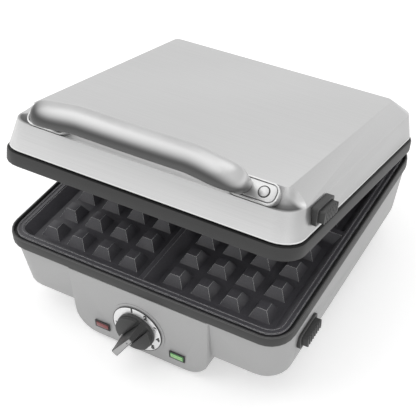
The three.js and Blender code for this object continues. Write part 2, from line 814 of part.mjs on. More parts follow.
// Base housing: a sloping shell with a flange for the lower band, the control pedestal and two hollow legs.
function baseHousing() {
  const flangeUnder = housingTop - housingWall;
  const outside = solid(housingBlock(0, housingTop)).add(solid(pedestalBlock()));
  const bossFront = -pedestalFront - dialBossHeight;
  const boss = barY(dialBossRadius, bossFront, pedestalWall - pedestalFront, roundSteps);
  let body = outside.add(solid(moved(boss, 0, 0, dialHeight)));
  const floor = housingUnderside + housingWall;
  const leg = barZ(rearLegFootRadius, footHeight, floor, roundSteps, rearLegTopRadius);
  for (const side of [-1, 1]) body = body.add(solid(moved(leg, side * rearLegX, rearLegY, 0)));
  body = body.subtract(solid(housingBlock(housingWall, flangeUnder)));
  const inner = pedestalOutline(pedestalWall, flangeUnder);
  body = body.subtract(solid(extrudeY(inner, pedestalWall - pedestalFront, -pedestalBack - pedestalWall)));
  body = body.subtract(solid(loft([
    bandRing(housingFlangeReach, housingTop - 2 * housingWall),
    bandRing(housingFlangeReach, housingTop + overrun),
  ])));
  const legInside = barZ(
    rearLegFootRadius - rearLegWall,
    footHeight + rearLegWall,
    floor + overrun,
    roundSteps,
    rearLegTopRadius - rearLegWall,
  );
  for (const side of [-1, 1]) body = body.subtract(solid(moved(legInside, side * rearLegX, rearLegY, 0)));
  const postTop = lowerBandTop - reflectorFloorLevel - reflectorSheet - seatGap;
  const post = barZ(reflectorPostRadius, floor - housingWall / 2, postTop);
  for (const x of [-reflectorPostX, reflectorPostX]) {
    for (const y of [-reflectorPostY, reflectorPostY]) body = body.add(solid(moved(post, x, y, 0)));
  }
  for (const hole of housingHoles()) body = body.subtract(solid(hole));
  return geometryOf(body);
}

// Everything that is cut through the housing's walls.
function housingHoles() {
  const holes = [];
  const through = (radius) => barZ(radius, footHeight - overrun, footHeight + pedestalWall + overrun);
  for (const [x, y] of footPlaces) holes.push(moved(through(footStemRadius + seatGap), x, y, 0));
  for (const [x, y] of hatchScrewPlaces) holes.push(moved(through(screwShankRadius + seatGap), x, y, 0));
  holes.push(block(
    -hatchHalfWidth,
    hatchHalfWidth,
    -hatchFront,
    -hatchBack,
    footHeight - overrun,
    footHeight + pedestalWall + overrun,
  ));
  const panelBack = pedestalWall + overrun - pedestalFront;
  const panelFront = -pedestalFront - dialBossHeight - overrun;
  holes.push(moved(barY(bushingRadius + seatGap, panelFront, panelBack), 0, 0, dialHeight));
  const halfNeck = lampFrameWidth / 2 - lampNeckInset + seatGap;
  const halfNeckHeight = lampFrameHeight / 2 - lampNeckInset + seatGap;
  const lampHole = block(-halfNeck, halfNeck, panelFront, panelBack, -halfNeckHeight, halfNeckHeight);
  for (const side of [-1, 1]) holes.push(moved(lampHole, side * lampOffset, 0, lampHeight));
  holes.push(moved(releaseWindow(), 0, -releaseStation, lowerReleaseLevel));
  const rearTilt = Math.atan(housingDraft);
  const glandHole = barY(glandNeckRadius + seatGap, -overrun, overrun).rotateX(-rearTilt);
  holes.push(moved(glandHole, glandX, housingHalfDepthAt(glandHeight), glandHeight));
  const ventLow = housingUnderside - overrun;
  const ventHigh = housingUnderside + overrun;
  const slit = block(-ventWidth / 2, ventWidth / 2, ventStation, ventStation + ventLength, ventLow, ventHigh);
  for (let vent = 0; vent < ventCount; vent += 1) {
    holes.push(moved(slit, (vent - (ventCount - 1) / 2) * ventPitch, 0, 0));
  }
  return holes;
}

// Foot: a rubber disc with a stem that pushes into the housing's bottom.
function foot() {
  const pad = barZ(footRadius, 0, footHeight - seatGap, roundSteps);
  return build([pad, barZ(footStemRadius, 0, footHeight + footStemLength)]);
}

// Cover over the opening in the pedestal's bottom.
function pedestalCover() {
  const top = footHeight - seatGap;
  const under = top - hatchCoverSheet;
  const halfWidth = hatchHalfWidth + hatchCoverLap;
  const front = -hatchFront - hatchCoverLap;
  const back = -hatchBack + hatchCoverLap;
  const holes = hatchScrewPlaces.map(([x, y]) => (
    moved(barZ(screwShankRadius + seatGap, under - overrun, top + overrun), x, y, 0)
  ));
  return build([block(-halfWidth, halfWidth, front, back, under, top)], holes);
}

// Screw seen from below, with its head against the pedestal's cover.
function coverScrew() {
  const headTop = footHeight - 2 * seatGap - hatchCoverSheet;
  const head = barZ(screwHeadRadius, headTop - screwHeadHeight, headTop);
  return build([head, barZ(screwShankRadius, headTop - screwHeadHeight / 2, headTop + screwLength)]);
}

// Ring round the knob that carries the dial's numbers.
function dialRing() {
  const back = -pedestalFront - dialBossHeight - seatGap;
  const ring = barY(dialRingRadius, back - dialRingThickness, back, roundSteps);
  const bore = barY(dialRingBore, back - dialRingThickness - overrun, back + overrun, roundSteps);
  return build([ring], [bore]);
}

// Back face of the knob, just clear of the dial ring.
const knobBack = -pedestalFront - dialBossHeight - seatGap - dialRingThickness - runningGap;

// Front of the knob's disc, and of the blade's crest.
const knobDiscFront = knobBack - knobDiscThickness;
const knobCrest = knobDiscFront - knobBladeHeight;

// A ring across the blade at a depth: wider at the heel, below, than at the pointing tip, above.
function bladeRing(heelWidth, tipWidth, length, y) {
  return [
    [-heelWidth / 2, y, -length / 2],
    [heelWidth / 2, y, -length / 2],
    [tipWidth / 2, y, length / 2],
    [-tipWidth / 2, y, length / 2],
  ];
}

// Knob: a disc with two raised lobes and a tall blade between them, drawn with the tip pointing up.
function knob() {
  const disc = barY(knobDiscRadius, knobDiscFront, knobBack, roundSteps);
  const root = knobBack - knobDiscThickness / 2;
  const blade = loft([
    bladeRing(knobBladeHeelBaseWidth, knobBladeTipBaseWidth, knobBladeBaseLength, root),
    bladeRing(knobBladeHeelBaseWidth, knobBladeTipBaseWidth, knobBladeBaseLength, knobDiscFront),
    bladeRing(knobBladeHeelCrestWidth, knobBladeTipCrestWidth, knobBladeCrestLength, knobCrest),
  ]);
  const lobes = barY(knobLobeRadius, knobDiscFront - knobLobeHeight, root, roundSteps);
  const halfValley = knobValleyWidth / 2;
  const valleyFront = knobDiscFront - knobLobeHeight - overrun;
  const valley = block(-halfValley, halfValley, valleyFront, knobDiscFront, -knobDiscRadius, knobDiscRadius);
  const raised = solid(lobes).subtract(solid(valley));
  const bore = barY(shaftRadius + seatGap, knobBack - shaftDepthInKnob, knobBack + overrun);
  return geometryOf(solid(disc).add(raised).add(solid(blade)).subtract(solid(bore)));
}

// Light strip along the blade's crest.
function knobPointer() {
  const back = knobCrest - seatGap;
  const ring = (y) => bladeRing(
    knobBladeHeelCrestWidth - 2 * pointerInset,
    knobBladeTipCrestWidth - 2 * pointerInset,
    knobBladeCrestLength - 2 * pointerInset,
    y,
  );
  return build([loft([ring(back), ring(back - pointerThickness)])]);
}

// Inner face of the panel, where the thermostat seats.
const panelInside = -pedestalFront + pedestalWall;

// Shaft that carries the knob and turns in the thermostat's bushing.
function thermostatShaft() {
  const front = knobBack - shaftDepthInKnob + seatGap;
  return build([barY(shaftRadius, front, panelInside + seatGap + shaftDepthInThermostat)]);
}

// Thermostat: a box behind the panel with a bushing through it.
function thermostatBody() {
  const front = panelInside + seatGap;
  const body = block(
    -thermostatWidth / 2,
    thermostatWidth / 2,
    front,
    front + thermostatDepth,
    -thermostatHeight / 2,
    thermostatHeight / 2,
  );
  const bushingFront = knobBack + runningGap;
  const bushing = barY(bushingRadius, bushingFront, front + overrun);
  const boreEnd = front + shaftDepthInThermostat + runningGap;
  const bore = barY(shaftRadius + runningGap, bushingFront - overrun, boreEnd);
  return build([body, bushing], [bore]);
}

// Frame of a signal lamp, with a neck through the panel.
function lampFrame() {
  const back = -pedestalFront - seatGap;
  const front = back - lampFrameThickness;
  const frame = (halfWidth, halfHeight, y0, y1) => (
    block(-halfWidth, halfWidth, y0, y1, -halfHeight, halfHeight)
  );
  const plate = frame(lampFrameWidth / 2, lampFrameHeight / 2, front, back);
  const neckWidth = lampFrameWidth / 2 - lampNeckInset;
  const neckHeight = lampFrameHeight / 2 - lampNeckInset;
  const neck = frame(neckWidth, neckHeight, front + lampFrameThickness / 2, back + lampNeckDepth);
  const holeWidth = lampFrameWidth / 2 - lampFrameRim;
  const holeHeight = lampFrameHeight / 2 - lampFrameRim;
  const hole = frame(holeWidth, holeHeight, front - overrun, back + lampNeckDepth + overrun);
  return build([plate, neck], [hole]);
}

// Coloured lens inside the lamp's frame.
function lampLens() {
  const halfWidth = lampFrameWidth / 2 - lampFrameRim - seatGap;
  const halfHeight = lampFrameHeight / 2 - lampFrameRim - seatGap;
  const front = -pedestalFront - seatGap - lampFrameThickness - seatGap;
  const back = -pedestalFront - seatGap + lampNeckDepth;
  return build([block(-halfWidth, halfWidth, front, back, -halfHeight, halfHeight)]);
}

// Glow lamp behind the lens.
function lampBulb() {
  const front = -pedestalFront + lampNeckDepth;
  return build([barY(lampBulbRadius, front, front + lampBulbLength)]);
}

// Terminal block on the housing's floor, with its screws.
function terminalBlock() {
  const floor = housingUnderside + housingWall + seatGap;
  const halfWidth = terminalBlockWidth / 2;
  const halfDepth = terminalBlockDepth / 2;
  const top = floor + terminalBlockHeight;
  const screws = Array.from({ length: terminalCount }, (_, index) => {
    const x = (index - (terminalCount - 1) / 2) * terminalBlockWidth / terminalCount;
    return moved(barZ(terminalScrewRadius, top - terminalScrewHeight, top + terminalScrewHeight), x, 0, 0);
  });
  return build([block(-halfWidth, halfWidth, -halfDepth, halfDepth, floor, top), ...screws]);
}

// Gland that the mains cord comes out of. Y = 0 is the outside of the rear wall.
function cordGland() {
  const neck = barY(glandNeckRadius, -housingWall - glandFlangeThickness, seatGap + glandFlangeThickness / 2);
  const flange = barY(glandFlangeRadius, seatGap, seatGap + glandFlangeThickness);
  const bore = barY(glandBore, -housingWall - overrun, glandFlangeThickness + overrun);
  return build([neck, flange], [bore]);
}

// Half sizes of the release button's opening in its frame.
const releaseHoleHalfLength = releaseFrameLength / 2 - releaseFrameRim;
const releaseHoleHalfHeight = releaseFrameHeight / 2 - releaseFrameRim;

// Window in a side wall for the sleeve of a release frame.
function releaseWindow() {
  const halfLength = releaseHoleHalfLength + releaseSleeveWall + seatGap;
  const halfHeight = releaseHoleHalfHeight + releaseSleeveWall + seatGap;
  const outside = releaseFrameFace + overrun;
  return block(releaseSleeveEnd, outside, -halfLength, halfLength, -halfHeight, halfHeight);
}

// A block with round corners, drawn round the origin in Y and Z.
function roundedBlock(halfLength, halfHeight, radius, x0, x1) {
  return extrudeX(roundedRing(halfLength, -halfHeight, halfHeight, radius), x0, x1);
}

// Release frame: a flange whose back follows the sloping wall, and a sleeve that guides the button.
// The wall's outside is given at the frame's lower and upper edge.
function releaseFrame(wallLow, wallHigh) {
  const halfHeight = releaseFrameHeight / 2;
  const halfLength = releaseFrameLength / 2;
  const wedge = extrudeY([
    [wallLow + seatGap, -halfHeight],
    [releaseFrameFace, -halfHeight],
    [releaseFrameFace, halfHeight],
    [wallHigh + seatGap, halfHeight],
  ], -halfLength, halfLength);
  const outside = releaseFrameFace + overrun;
  const outline = roundedBlock(halfLength, halfHeight, releaseFrameCorner, releaseSleeveEnd, outside);
  const flange = solid(wedge).intersect(solid(outline));
  const holeLength = releaseHoleHalfLength;
  const holeHeight = releaseHoleHalfHeight;
  const sleeveLength = holeLength + releaseSleeveWall;
  const sleeveHeight = holeHeight + releaseSleeveWall;
  const root = Math.max(wallLow, wallHigh) + 2 * seatGap;
  const sleeve = block(releaseSleeveEnd, root, -sleeveLength, sleeveLength, -sleeveHeight, sleeveHeight);
  const hole = block(
    releaseSleeveEnd + releaseEndWall,
    outside,
    -holeLength,
    holeLength,
    -holeHeight,
    holeHeight,
  );
  const slotLength = latchArmLength / 2 + runningGap;
  const slotHeight = latchArmHeight / 2 + runningGap;
  const slotEnd = releaseSleeveEnd - overrun;
  const slot = block(slotEnd, releaseSleeveEnd + overrun, -slotLength, slotLength, -slotHeight, slotHeight);
  return geometryOf(flange.add(solid(sleeve)).subtract(solid(hole)).subtract(solid(slot)));
}

// Release button: a ribbed pad, an arm through the frame, and a nose that holds the plate's tab.
// The nose stands off the arm by the given distance, up or down.
function releaseButton(noseOffset) {
  const halfLength = releaseHoleHalfLength - runningGap;
  const halfHeight = releaseHoleHalfHeight - runningGap;
  const pad = roundedBlock(halfLength, halfHeight, releasePadCorner, releasePadRoot, releasePadFace);
  const halfArm = latchArmLength / 2;
  const armHeight = latchArmHeight / 2;
  const arm = block(latchPostInside, releasePadRoot + overrun, -halfArm, halfArm, -armHeight, armHeight);
  const low = Math.min(-armHeight, noseOffset - noseHalfHeight);
  const high = Math.max(armHeight, noseOffset + noseHalfHeight);
  const post = block(latchPostInside, latchPostFace, -halfArm, halfArm, low, high);
  const noseLow = noseOffset - noseHalfHeight;
  const noseHigh = noseOffset + noseHalfHeight;
  const nose = block(latchPostInside, latchNoseReach, -halfArm, halfArm, noseLow, noseHigh);
  const ribPitch = 2 * halfLength / releaseRibCount;
  const bottom = releasePadFace - releaseRibDepth;
  const top = releasePadFace + overrun;
  const groove = block(bottom, top, -ribPitch / 4, ribPitch / 4, -releaseFrameHeight, releaseFrameHeight);
  const grooves = Array.from({ length: releaseRibCount - 1 }, (_, index) => (
    moved(groove, 0, (index + 1) * ribPitch - halfLength, 0)
  ));
  return build([pad, arm, post, nose], grooves);
}

// Spring round the latch's arm, between the frame's end wall and the button.
function releaseSpring() {
  const start = releaseSleeveEnd + releaseEndWall + seatGap + springWire / 2;
  const end = releasePadRoot - seatGap - springWire / 2;
  const steps = springTurns * springStepsPerTurn;
  const positions = [];
  const faces = [];
  for (let step = 0; step <= steps; step += 1) {
    const turn = 2 * Math.PI * step / springStepsPerTurn;
    for (let side = 0; side < springSides; side += 1) {
      const around = 2 * Math.PI * side / springSides;
      const radius = springRadius + springWire / 2 * Math.cos(around);
      const x = start + (end - start) * step / steps + springWire / 2 * Math.sin(around);
      positions.push(x, radius * Math.cos(turn), radius * Math.sin(turn));
    }
  }
  for (let step = 0; step < steps; step += 1) {
    for (let side = 0; side < springSides; side += 1) {
      const a = step * springSides + side;
      const b = step * springSides + (side + 1) % springSides;
      faces.push(a, b, b + springSides, a, b + springSides, a + springSides);
    }
  }
  const last = steps * springSides;
  for (let side = 1; side < springSides - 1; side += 1) {
    faces.push(0, side + 1, side, last, last + side, last + side + 1);
  }
  const geometry = new THREE.BufferGeometry();
  geometry.setAttribute('position', new THREE.BufferAttribute(Float32Array.from(positions), 3));
  geometry.setIndex(faces);
  return build([geometry]);
}

// The lid cover as a solid block. With a wall it is drawn in, and runs on below the cover's open bottom.
function coverBlock(wall) {
  const ring = (halfWidth, front, back, radius, z) => roundedRing(
    halfWidth - wall,
    wall - front,
    back - wall,
    Math.max(radius - wall, wall),
  ).map(([x, y]) => [x, y, z]);
  const bottomHalfDepth = bandDepth / 2 - coverBottomInset;
  const bottomHalfWidth = bandWidth / 2 - coverBottomInset;
  const rings = [
    ring(bottomHalfWidth, bottomHalfDepth, bottomHalfDepth, coverBottomRadius, coverBottom),
    ring(coverShoulderHalfWidth, coverShoulderFront, coverShoulderBack, coverShoulderRadius, coverShoulder),
    ring(coverTopHalfWidth, coverTopFront, coverTopBack, coverTopRadius, coverTop - wall),
  ];
  if (wall > 0) {
    const low = coverBottom - overrun;
    rings.unshift(ring(bottomHalfWidth, bottomHalfDepth, bottomHalfDepth, coverBottomRadius, low));
  }
  return loft(rings);
}

// The round cut along the lid's front edge, with a wider radius for the inside of the sheet.
// It turns round both front corners and runs out on the sloping sides.
function cove(wall) {
  const radius = coveRadius + wall;
  const ring = (turn, back, lift) => Array.from({ length: coveSteps }, (_, step) => {
    const angle = 2 * Math.PI * step / coveSteps;
    const out = coveTurnRadius + radius * Math.cos(angle) + lift * Math.sin(coveAngle);
    return [
      coveTurnX + out * Math.sin(turn),
      coveTurnY - out * Math.cos(turn) + back,
      coveAxisZ + radius * Math.sin(angle) + lift * Math.cos(coveAngle),
    ];
  });
  const half = [];
  for (let step = 0; step <= coveTurnSteps; step += 1) {
    half.push(ring(step / coveTurnSteps * Math.PI / 2, 0, 0));
  }
  for (let step = 1; step <= coveRunOutSteps; step += 1) {
    const share = step / coveRunOutSteps;
    half.push(ring(Math.PI / 2, share * coveRunOut, share ** 2 * (coveSag + 2 * coverSheet)));
  }
  const mirrored = half.map((points) => points.map(([x, y, z]) => [-x, y, z])).reverse();
  return loft([...mirrored, ...half]);
}

// A geometry drawn on the cove's chord, with Y up along the chord and Z out of the lid, put in its place.
function onCove(geometry) {
  return geometry.clone().rotateX(coveAngle).translate(0, coveMiddleY, coveMiddleZ);
}

// Lid cover: a sheet shell, open below, with a cove for the handle.
function lidCover() {
  const cavity = solid(coverBlock(coverSheet)).subtract(solid(cove(coverSheet)));
  let body = solid(coverBlock(0)).subtract(solid(cove(0))).subtract(cavity);
  const window = moved(releaseWindow(), 0, -releaseStation, upperReleaseRise);
  body = body.subtract(solid(window));
  const hole = barZ(handleScrewRadius + seatGap, -handleScrewLength, handleScrewLength);
  for (const side of [-1, 1]) body = body.subtract(solid(onCove(moved(hole, side * capX, 0, 0))));
  return geometryOf(body);
}

// Height of the handle's flanges above the cove's chord.
const flangeUnder = mountStand + seatGap;
const flangeTop = flangeUnder + flangeThickness;

// A plate with round corners on the cove's chord, round the flange and grown by a lap.
function flangePlate(side, lap, low, high) {
  const halfWidth = flangeWidth / 2 + lap;
  const outline = roundedRing(flangeLength / 2 + lap, -halfWidth, halfWidth, flangeCornerRadius + lap);
  return moved(extrudeZ(outline, low, high), side * (flangeInner + flangeOuter) / 2, 0, 0);
}

// Width and drop of the handle's section at a share of the way from its root to its middle.
function handleSection(share) {
  const stations = [
    [0, handleRootWidth, 0],
    [handleNeckShare, handleNeckWidth, handleNeckDrop],
    [handleArmShare, handleArmWidth, handleArmDrop],
    [handleShoulderShare, handleShoulderWidth, handleShoulderDrop],
    [handleMiddleShare, handleMiddleWidth, handleMiddleDrop],
    [1, handleMiddleWidth, handleMiddleDrop],
  ];
  const next = stations.findIndex(([place], index) => index > 0 && place >= share);
  const [fromPlace, fromWidth, fromDrop] = stations[next - 1];
  const [toPlace, toWidth, toDrop] = stations[next];
  const part = (share - fromPlace) / (toPlace - fromPlace);
  return [fromWidth + (toWidth - fromWidth) * part, fromDrop + (toDrop - fromDrop) * part];
}

// Handle: an arched bar with arms that lean outwards, standing on a flange at each side.
function handleBar() {
  const root = new THREE.Vector2(handleRootX, flangeUnder);
  const crown = new THREE.Vector2(0, handleRise);
  const lean = new THREE.Vector2(Math.sin(handleArmLean), Math.cos(handleArmLean));
  const line = new THREE.CubicBezierCurve(
    root,
    lean.multiplyScalar(handleArmReach).add(root),
    new THREE.Vector2(handleSpanReach, handleRise),
    crown,
  );
  const ring = (share) => {
    const middle = line.getPointAt(share);
    const along = share > 0 ? line.getTangentAt(share) : new THREE.Vector2(0, 1);
    const [width, drop] = handleSection(share);
    return Array.from({ length: handleSides }, (_, side) => {
      const angle = 2 * Math.PI * side / handleSides;
      const out = handleThickness / 2 * Math.cos(angle);
      return [middle.x + out * along.y, width / 2 * Math.sin(angle) - drop, middle.y - out * along.x];
    });
  };
  const right = Array.from({ length: handleSteps + 1 }, (_, step) => ring(step / handleSteps));
  const left = right.slice(0, -1).reverse().map((points) => points.map(([x, y, z]) => [-x, y, z]));
  const parts = [loft([...right, ...left])];
  const cuts = [];
  const recess = barZ(capRecessRadius, flangeTop - capRecessDepth, flangeTop + overrun, roundSteps);
  const hole = barZ(handleScrewRadius + seatGap, flangeUnder - overrun, flangeTop + overrun);
  for (const side of [-1, 1]) {
    parts.push(flangePlate(side, 0, flangeUnder, flangeTop));
    cuts.push(moved(recess, side * capX, 0, 0));
    cuts.push(moved(hole, side * capX, 0, 0));
  }
  return onCove(build(parts, cuts));
}

// Tray between a handle flange and the cove, with a raised rim round the flange.
function handleMount(side) {
  const mount = flangePlate(side, mountGap + mountRimWidth, -coveRadius, mountStand + mountRimHeight);
  const pocket = flangePlate(side, mountGap, mountStand, mountStand + mountRimHeight + overrun);
  const round = moved(barX(coveRadius - seatGap, -bandWidth, bandWidth, coveSteps), 0, 0, coveAxisRise);
  const hole = moved(barZ(handleScrewRadius + seatGap, -coveRadius, coveRadius), side * capX, 0, 0);
  const tray = solid(mount).intersect(solid(round)).subtract(solid(pocket));
  return onCove(geometryOf(tray.subtract(solid(hole))));
}

// Screw that holds the handle, with a round cap in the flange's recess.
function handleScrew(side) {
  const seat = flangeTop - capRecessDepth + seatGap;
  const cap = barZ(capRadius, seat, seat + capHeight, roundSteps);
  const shank = barZ(handleScrewRadius, seat - handleScrewLength, seat + capHeight / 2);
  return onCove(moved(build([cap, shank]), side * capX, 0, 0));
}

// Bracket behind the housing with two ears for a hinge pin, drawn round X = 0.
function hingeBracket() {
  const halfWidth = hingeArmWidth / 2 + runningGap + hingeEarWidth;
  const wallAt = (z) => housingHalfDepthAt(z) + seatGap;
  const clearOfBand = bandDepth / 2 + runningGap;
  const shelf = lowerBandBottom - runningGap;
  const foot = extrudeX([
    [wallAt(bracketFoot), bracketFoot],
    [wallAt(bracketFoot) + bracketDepth, bracketFoot],
    [hingeY + hingeEarRadius, hingeZ],
    [clearOfBand, hingeZ],
    [clearOfBand, shelf],
    [wallAt(shelf), shelf],
  ], -halfWidth, halfWidth);
  const eye = moved(barX(hingeEarRadius, -halfWidth, halfWidth, roundSteps), 0, hingeY, hingeZ);
  const reach = hingeArmWidth / 2 + runningGap;
  const swing = hingeKnuckleRadius + runningGap;
  const roomBack = hingeY + 2 * hingeEarRadius;
  const room = block(-reach, reach, clearOfBand - overrun, roomBack, hingeZ - swing, hingeZ + 2 * swing);
  const bore = moved(barX(hingePinRadius + seatGap, -bandWidth, bandWidth), 0, hingeY, hingeZ);
  return build([foot, eye], [room, bore]);
}

// Hinge pin with a head at each end, drawn round X = 0.
function hingePin() {
  const halfLength = hingeArmWidth / 2 + runningGap + hingeEarWidth + seatGap;
  const pin = barX(hingePinRadius, -halfLength - hingePinHeadLength, halfLength + hingePinHeadLength);
  const heads = [-1, 1].map((side) => {
    const ends = [side * halfLength, side * (halfLength + hingePinHeadLength)].sort((a, b) => a - b);
    return barX(hingePinHeadRadius, ends[0], ends[1], roundSteps);
  });
  return moved(build([pin, ...heads]), 0, hingeY, hingeZ);
}

// Arm on the upper band's back, with a knuckle that turns round the hinge pin. Z = 0 is the lid's bottom.
function hingeArm() {
  const halfWidth = hingeArmWidth / 2;
  const axisZ = hingeZ - lidBottom;
  const back = bandDepth / 2 + seatGap;
  const low = bandLipRound + seatGap;
  const arm = extrudeX([
    [back, low],
    [hingeY - hingeKnuckleRadius, axisZ],
    [hingeY + hingeKnuckleRadius, axisZ],
    [hingeY + hingeKnuckleRadius, axisZ + hingeKnuckleRadius / 2],
    [back, low + armFootHeight],
  ], -halfWidth, halfWidth);
  const knuckle = moved(barX(hingeKnuckleRadius, -halfWidth, halfWidth, roundSteps), 0, hingeY, axisZ);
  const bore = moved(barX(hingePinRadius + seatGap, -bandWidth, bandWidth), 0, hingeY, axisZ);
  return build([arm, knuckle], [bore]);
}

// A named mesh in a group, at a place.
function add(parent, name, geometry, look, x = 0, y = 0, z = 0) {
  geometry.computeVertexNormals();
  const mesh = new THREE.Mesh(geometry, new THREE.MeshStandardMaterial({ ...look, flatShading: true }));
  mesh.name = name;
  mesh.position.set(x, y, z);
  parent.add(mesh);
  return mesh;
}

// What base and lid both hold: a band, a plate, a reflector, an element and two clips.
function addPlateSet(parent, prefix, band, tray, wallX, side) {
  const place = (geometry) => (side > 0 ? geometry : turnedOver(geometry));
  const level = side > 0 ? lowerBandTop : 0;
  const parts = [
    ['bezel', band, darkGrey],
    ['waffle_plate', gridPlate(), nonstick],
    ['reflector', tray, galvanised],
    ['heating_element', heatingElement(), galvanised],
  ];
  for (const [name, geometry, look] of parts) {
    add(parent, `${prefix}_${name}`, place(geometry), look, 0, 0, level);
  }
  for (const [name, y] of [['front', -tabStation], ['rear', tabStation]]) {
    add(parent, `${prefix}_plate_clip_${name}`, place(plateClip(wallX)), galvanised, 0, y, level);
  }
}

const assembly = new THREE.Group();
const lid = new THREE.Group();
lid.position.set(0, hingeY, hingeZ);
lid.rotation.x = -restingAngle;
assembly.add(lid);
const closedLid = new THREE.Group();
closedLid.position.set(0, -hingeY, lidBottom - hingeZ);
lid.add(closedLid);

// Base
add(assembly, 'base_housing', baseHousing(), silverPaint);
const lowerWallX = housingHalfWidthAt(lowerBandTop - noseLevel - clipPlateHeight) - housingWall - seatGap;
addPlateSet(assembly, 'lower', trimBand(lowerBandHeight, 0), reflector(false), lowerWallX, 1);
const footNames = ['front_left', 'front_right', 'rear_left', 'rear_right'];
footPlaces.forEach(([x, y], index) => add(assembly, `foot_${footNames[index]}`, foot(), blackRubber, x, y));
add(assembly, 'pedestal_cover', pedestalCover(), darkGrey);
hatchScrewPlaces.forEach(([x, y], index) => {
  add(assembly, `pedestal_cover_screw_${index + 1}`, coverScrew(), galvanised, x, y);
});
const halfFrame = releaseFrameHeight / 2;
const lowerFrame = releaseFrame(
  housingHalfWidthAt(lowerReleaseLevel - halfFrame),
  housingHalfWidthAt(lowerReleaseLevel + halfFrame),
);
add(assembly, 'lower_release_frame', lowerFrame, blackPlastic, 0, -releaseStation, lowerReleaseLevel);
add(assembly, 'lower_release_spring', releaseSpring(), polishedMetal, 0, -releaseStation, lowerReleaseLevel);
const lowerNose = lowerReleaseDrop - noseLevel;
const lowerButton = releaseButton(lowerNose);
add(assembly, 'lower_release_button', lowerButton, blackPlastic, 0, -releaseStation, lowerReleaseLevel);
add(assembly, 'terminal_block', terminalBlock(), palePlastic, 0, terminalBlockY);
const glandY = housingHalfDepthAt(glandHeight);
const gland = add(assembly, 'cord_gland', cordGland(), blackPlastic, glandX, glandY, glandHeight);
gland.rotation.x = -Math.atan(housingDraft);

// Controls
add(assembly, 'dial_ring', dialRing(), whiteMetal, 0, 0, dialHeight);
add(assembly, 'thermostat_body', thermostatBody(), palePlastic, 0, 0, dialHeight);
const dial = new THREE.Group();
dial.position.z = dialHeight;
dial.rotation.y = Math.PI / 2 - knobRestAngle;
assembly.add(dial);
add(dial, 'temperature_knob', knob(), blackPlastic);
add(dial, 'knob_pointer', knobPointer(), silverPaint);
add(dial, 'thermostat_shaft', thermostatShaft(), polishedMetal);
for (const [name, side, lens] of [['heating', -1, redLens], ['ready', 1, greenLens]]) {
  add(assembly, `${name}_lamp_frame`, lampFrame(), blackPlastic, side * lampOffset, 0, lampHeight);
  add(assembly, `${name}_lamp_lens`, lampLens(), lens, side * lampOffset, 0, lampHeight);
  add(assembly, `${name}_lamp_bulb`, lampBulb(), palePlastic, side * lampOffset, 0, lampHeight);
}

// Lid
add(closedLid, 'lid_cover', lidCover(), brushedSteel);
const upperWallLevel = noseLevel - noseHalfHeight + clipPlateHeight;
const coverHalfWidthAt = (z) => coverShoulderHalfWidth + (coverShoulder - z) * coverSideSlope;
const upperWallX = coverHalfWidthAt(upperWallLevel) - coverSheet - seatGap;
addPlateSet(closedLid, 'upper', trimBand(upperBandHeight, upstandHeight), reflector(true), upperWallX, -1);
const upperFrame = releaseFrame(
  coverHalfWidthAt(upperReleaseRise - halfFrame),
  coverHalfWidthAt(upperReleaseRise + halfFrame),
);
add(closedLid, 'upper_release_frame', upperFrame, blackPlastic, 0, -releaseStation, upperReleaseRise);
add(closedLid, 'upper_release_spring', releaseSpring(), polishedMetal, 0, -releaseStation, upperReleaseRise);
const upperNose = noseLevel - upperReleaseRise;
const upperButton = releaseButton(upperNose);
add(closedLid, 'upper_release_button', upperButton, blackPlastic, 0, -releaseStation, upperReleaseRise);
add(closedLid, 'handle_bar', handleBar(), polishedMetal);

// Handle fixings and hinges, left and right
for (const [name, side] of [['left', -1], ['right', 1]]) {
  add(closedLid, `handle_mount_${name}`, handleMount(side), polishedMetal);
  add(closedLid, `handle_screw_${name}`, handleScrew(side), polishedMetal);
  add(closedLid, `lid_hinge_arm_${name}`, hingeArm(), darkGrey, side * hingeX);
  add(assembly, `hinge_bracket_${name}`, hingeBracket(), darkGrey, side * hingeX);
  add(assembly, `hinge_pin_${name}`, hingePin(), polishedMetal, side * hingeX);
}

// The whole object stands on the origin, centred on its own outline.
const group = new THREE.Group();
group.add(assembly);
group.updateMatrixWorld(true);
const outline = new THREE.Box3().setFromObject(group, true);
const middle = outline.getCenter(new THREE.Vector3());
assembly.position.set(-middle.x, -middle.y, 0);

export default group;
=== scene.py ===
"""Looks of the belgian waffle maker: finishes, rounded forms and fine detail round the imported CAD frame."""
import json
import math

import bmesh
import bpy
from mathutils import Matrix, Vector


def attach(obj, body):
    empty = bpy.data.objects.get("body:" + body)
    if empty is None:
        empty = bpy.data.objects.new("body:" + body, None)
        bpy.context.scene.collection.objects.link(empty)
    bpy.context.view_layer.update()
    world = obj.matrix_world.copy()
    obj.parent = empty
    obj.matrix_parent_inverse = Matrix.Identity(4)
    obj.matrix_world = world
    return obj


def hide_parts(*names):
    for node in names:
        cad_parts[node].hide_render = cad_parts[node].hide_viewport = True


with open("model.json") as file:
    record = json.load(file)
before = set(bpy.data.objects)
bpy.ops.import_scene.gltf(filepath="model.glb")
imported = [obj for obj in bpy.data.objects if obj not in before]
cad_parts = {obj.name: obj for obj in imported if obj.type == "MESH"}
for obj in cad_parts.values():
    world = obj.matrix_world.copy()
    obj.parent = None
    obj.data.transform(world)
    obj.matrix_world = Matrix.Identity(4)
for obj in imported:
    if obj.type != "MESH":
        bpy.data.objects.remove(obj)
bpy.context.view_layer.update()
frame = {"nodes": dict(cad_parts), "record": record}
MM = 0.001

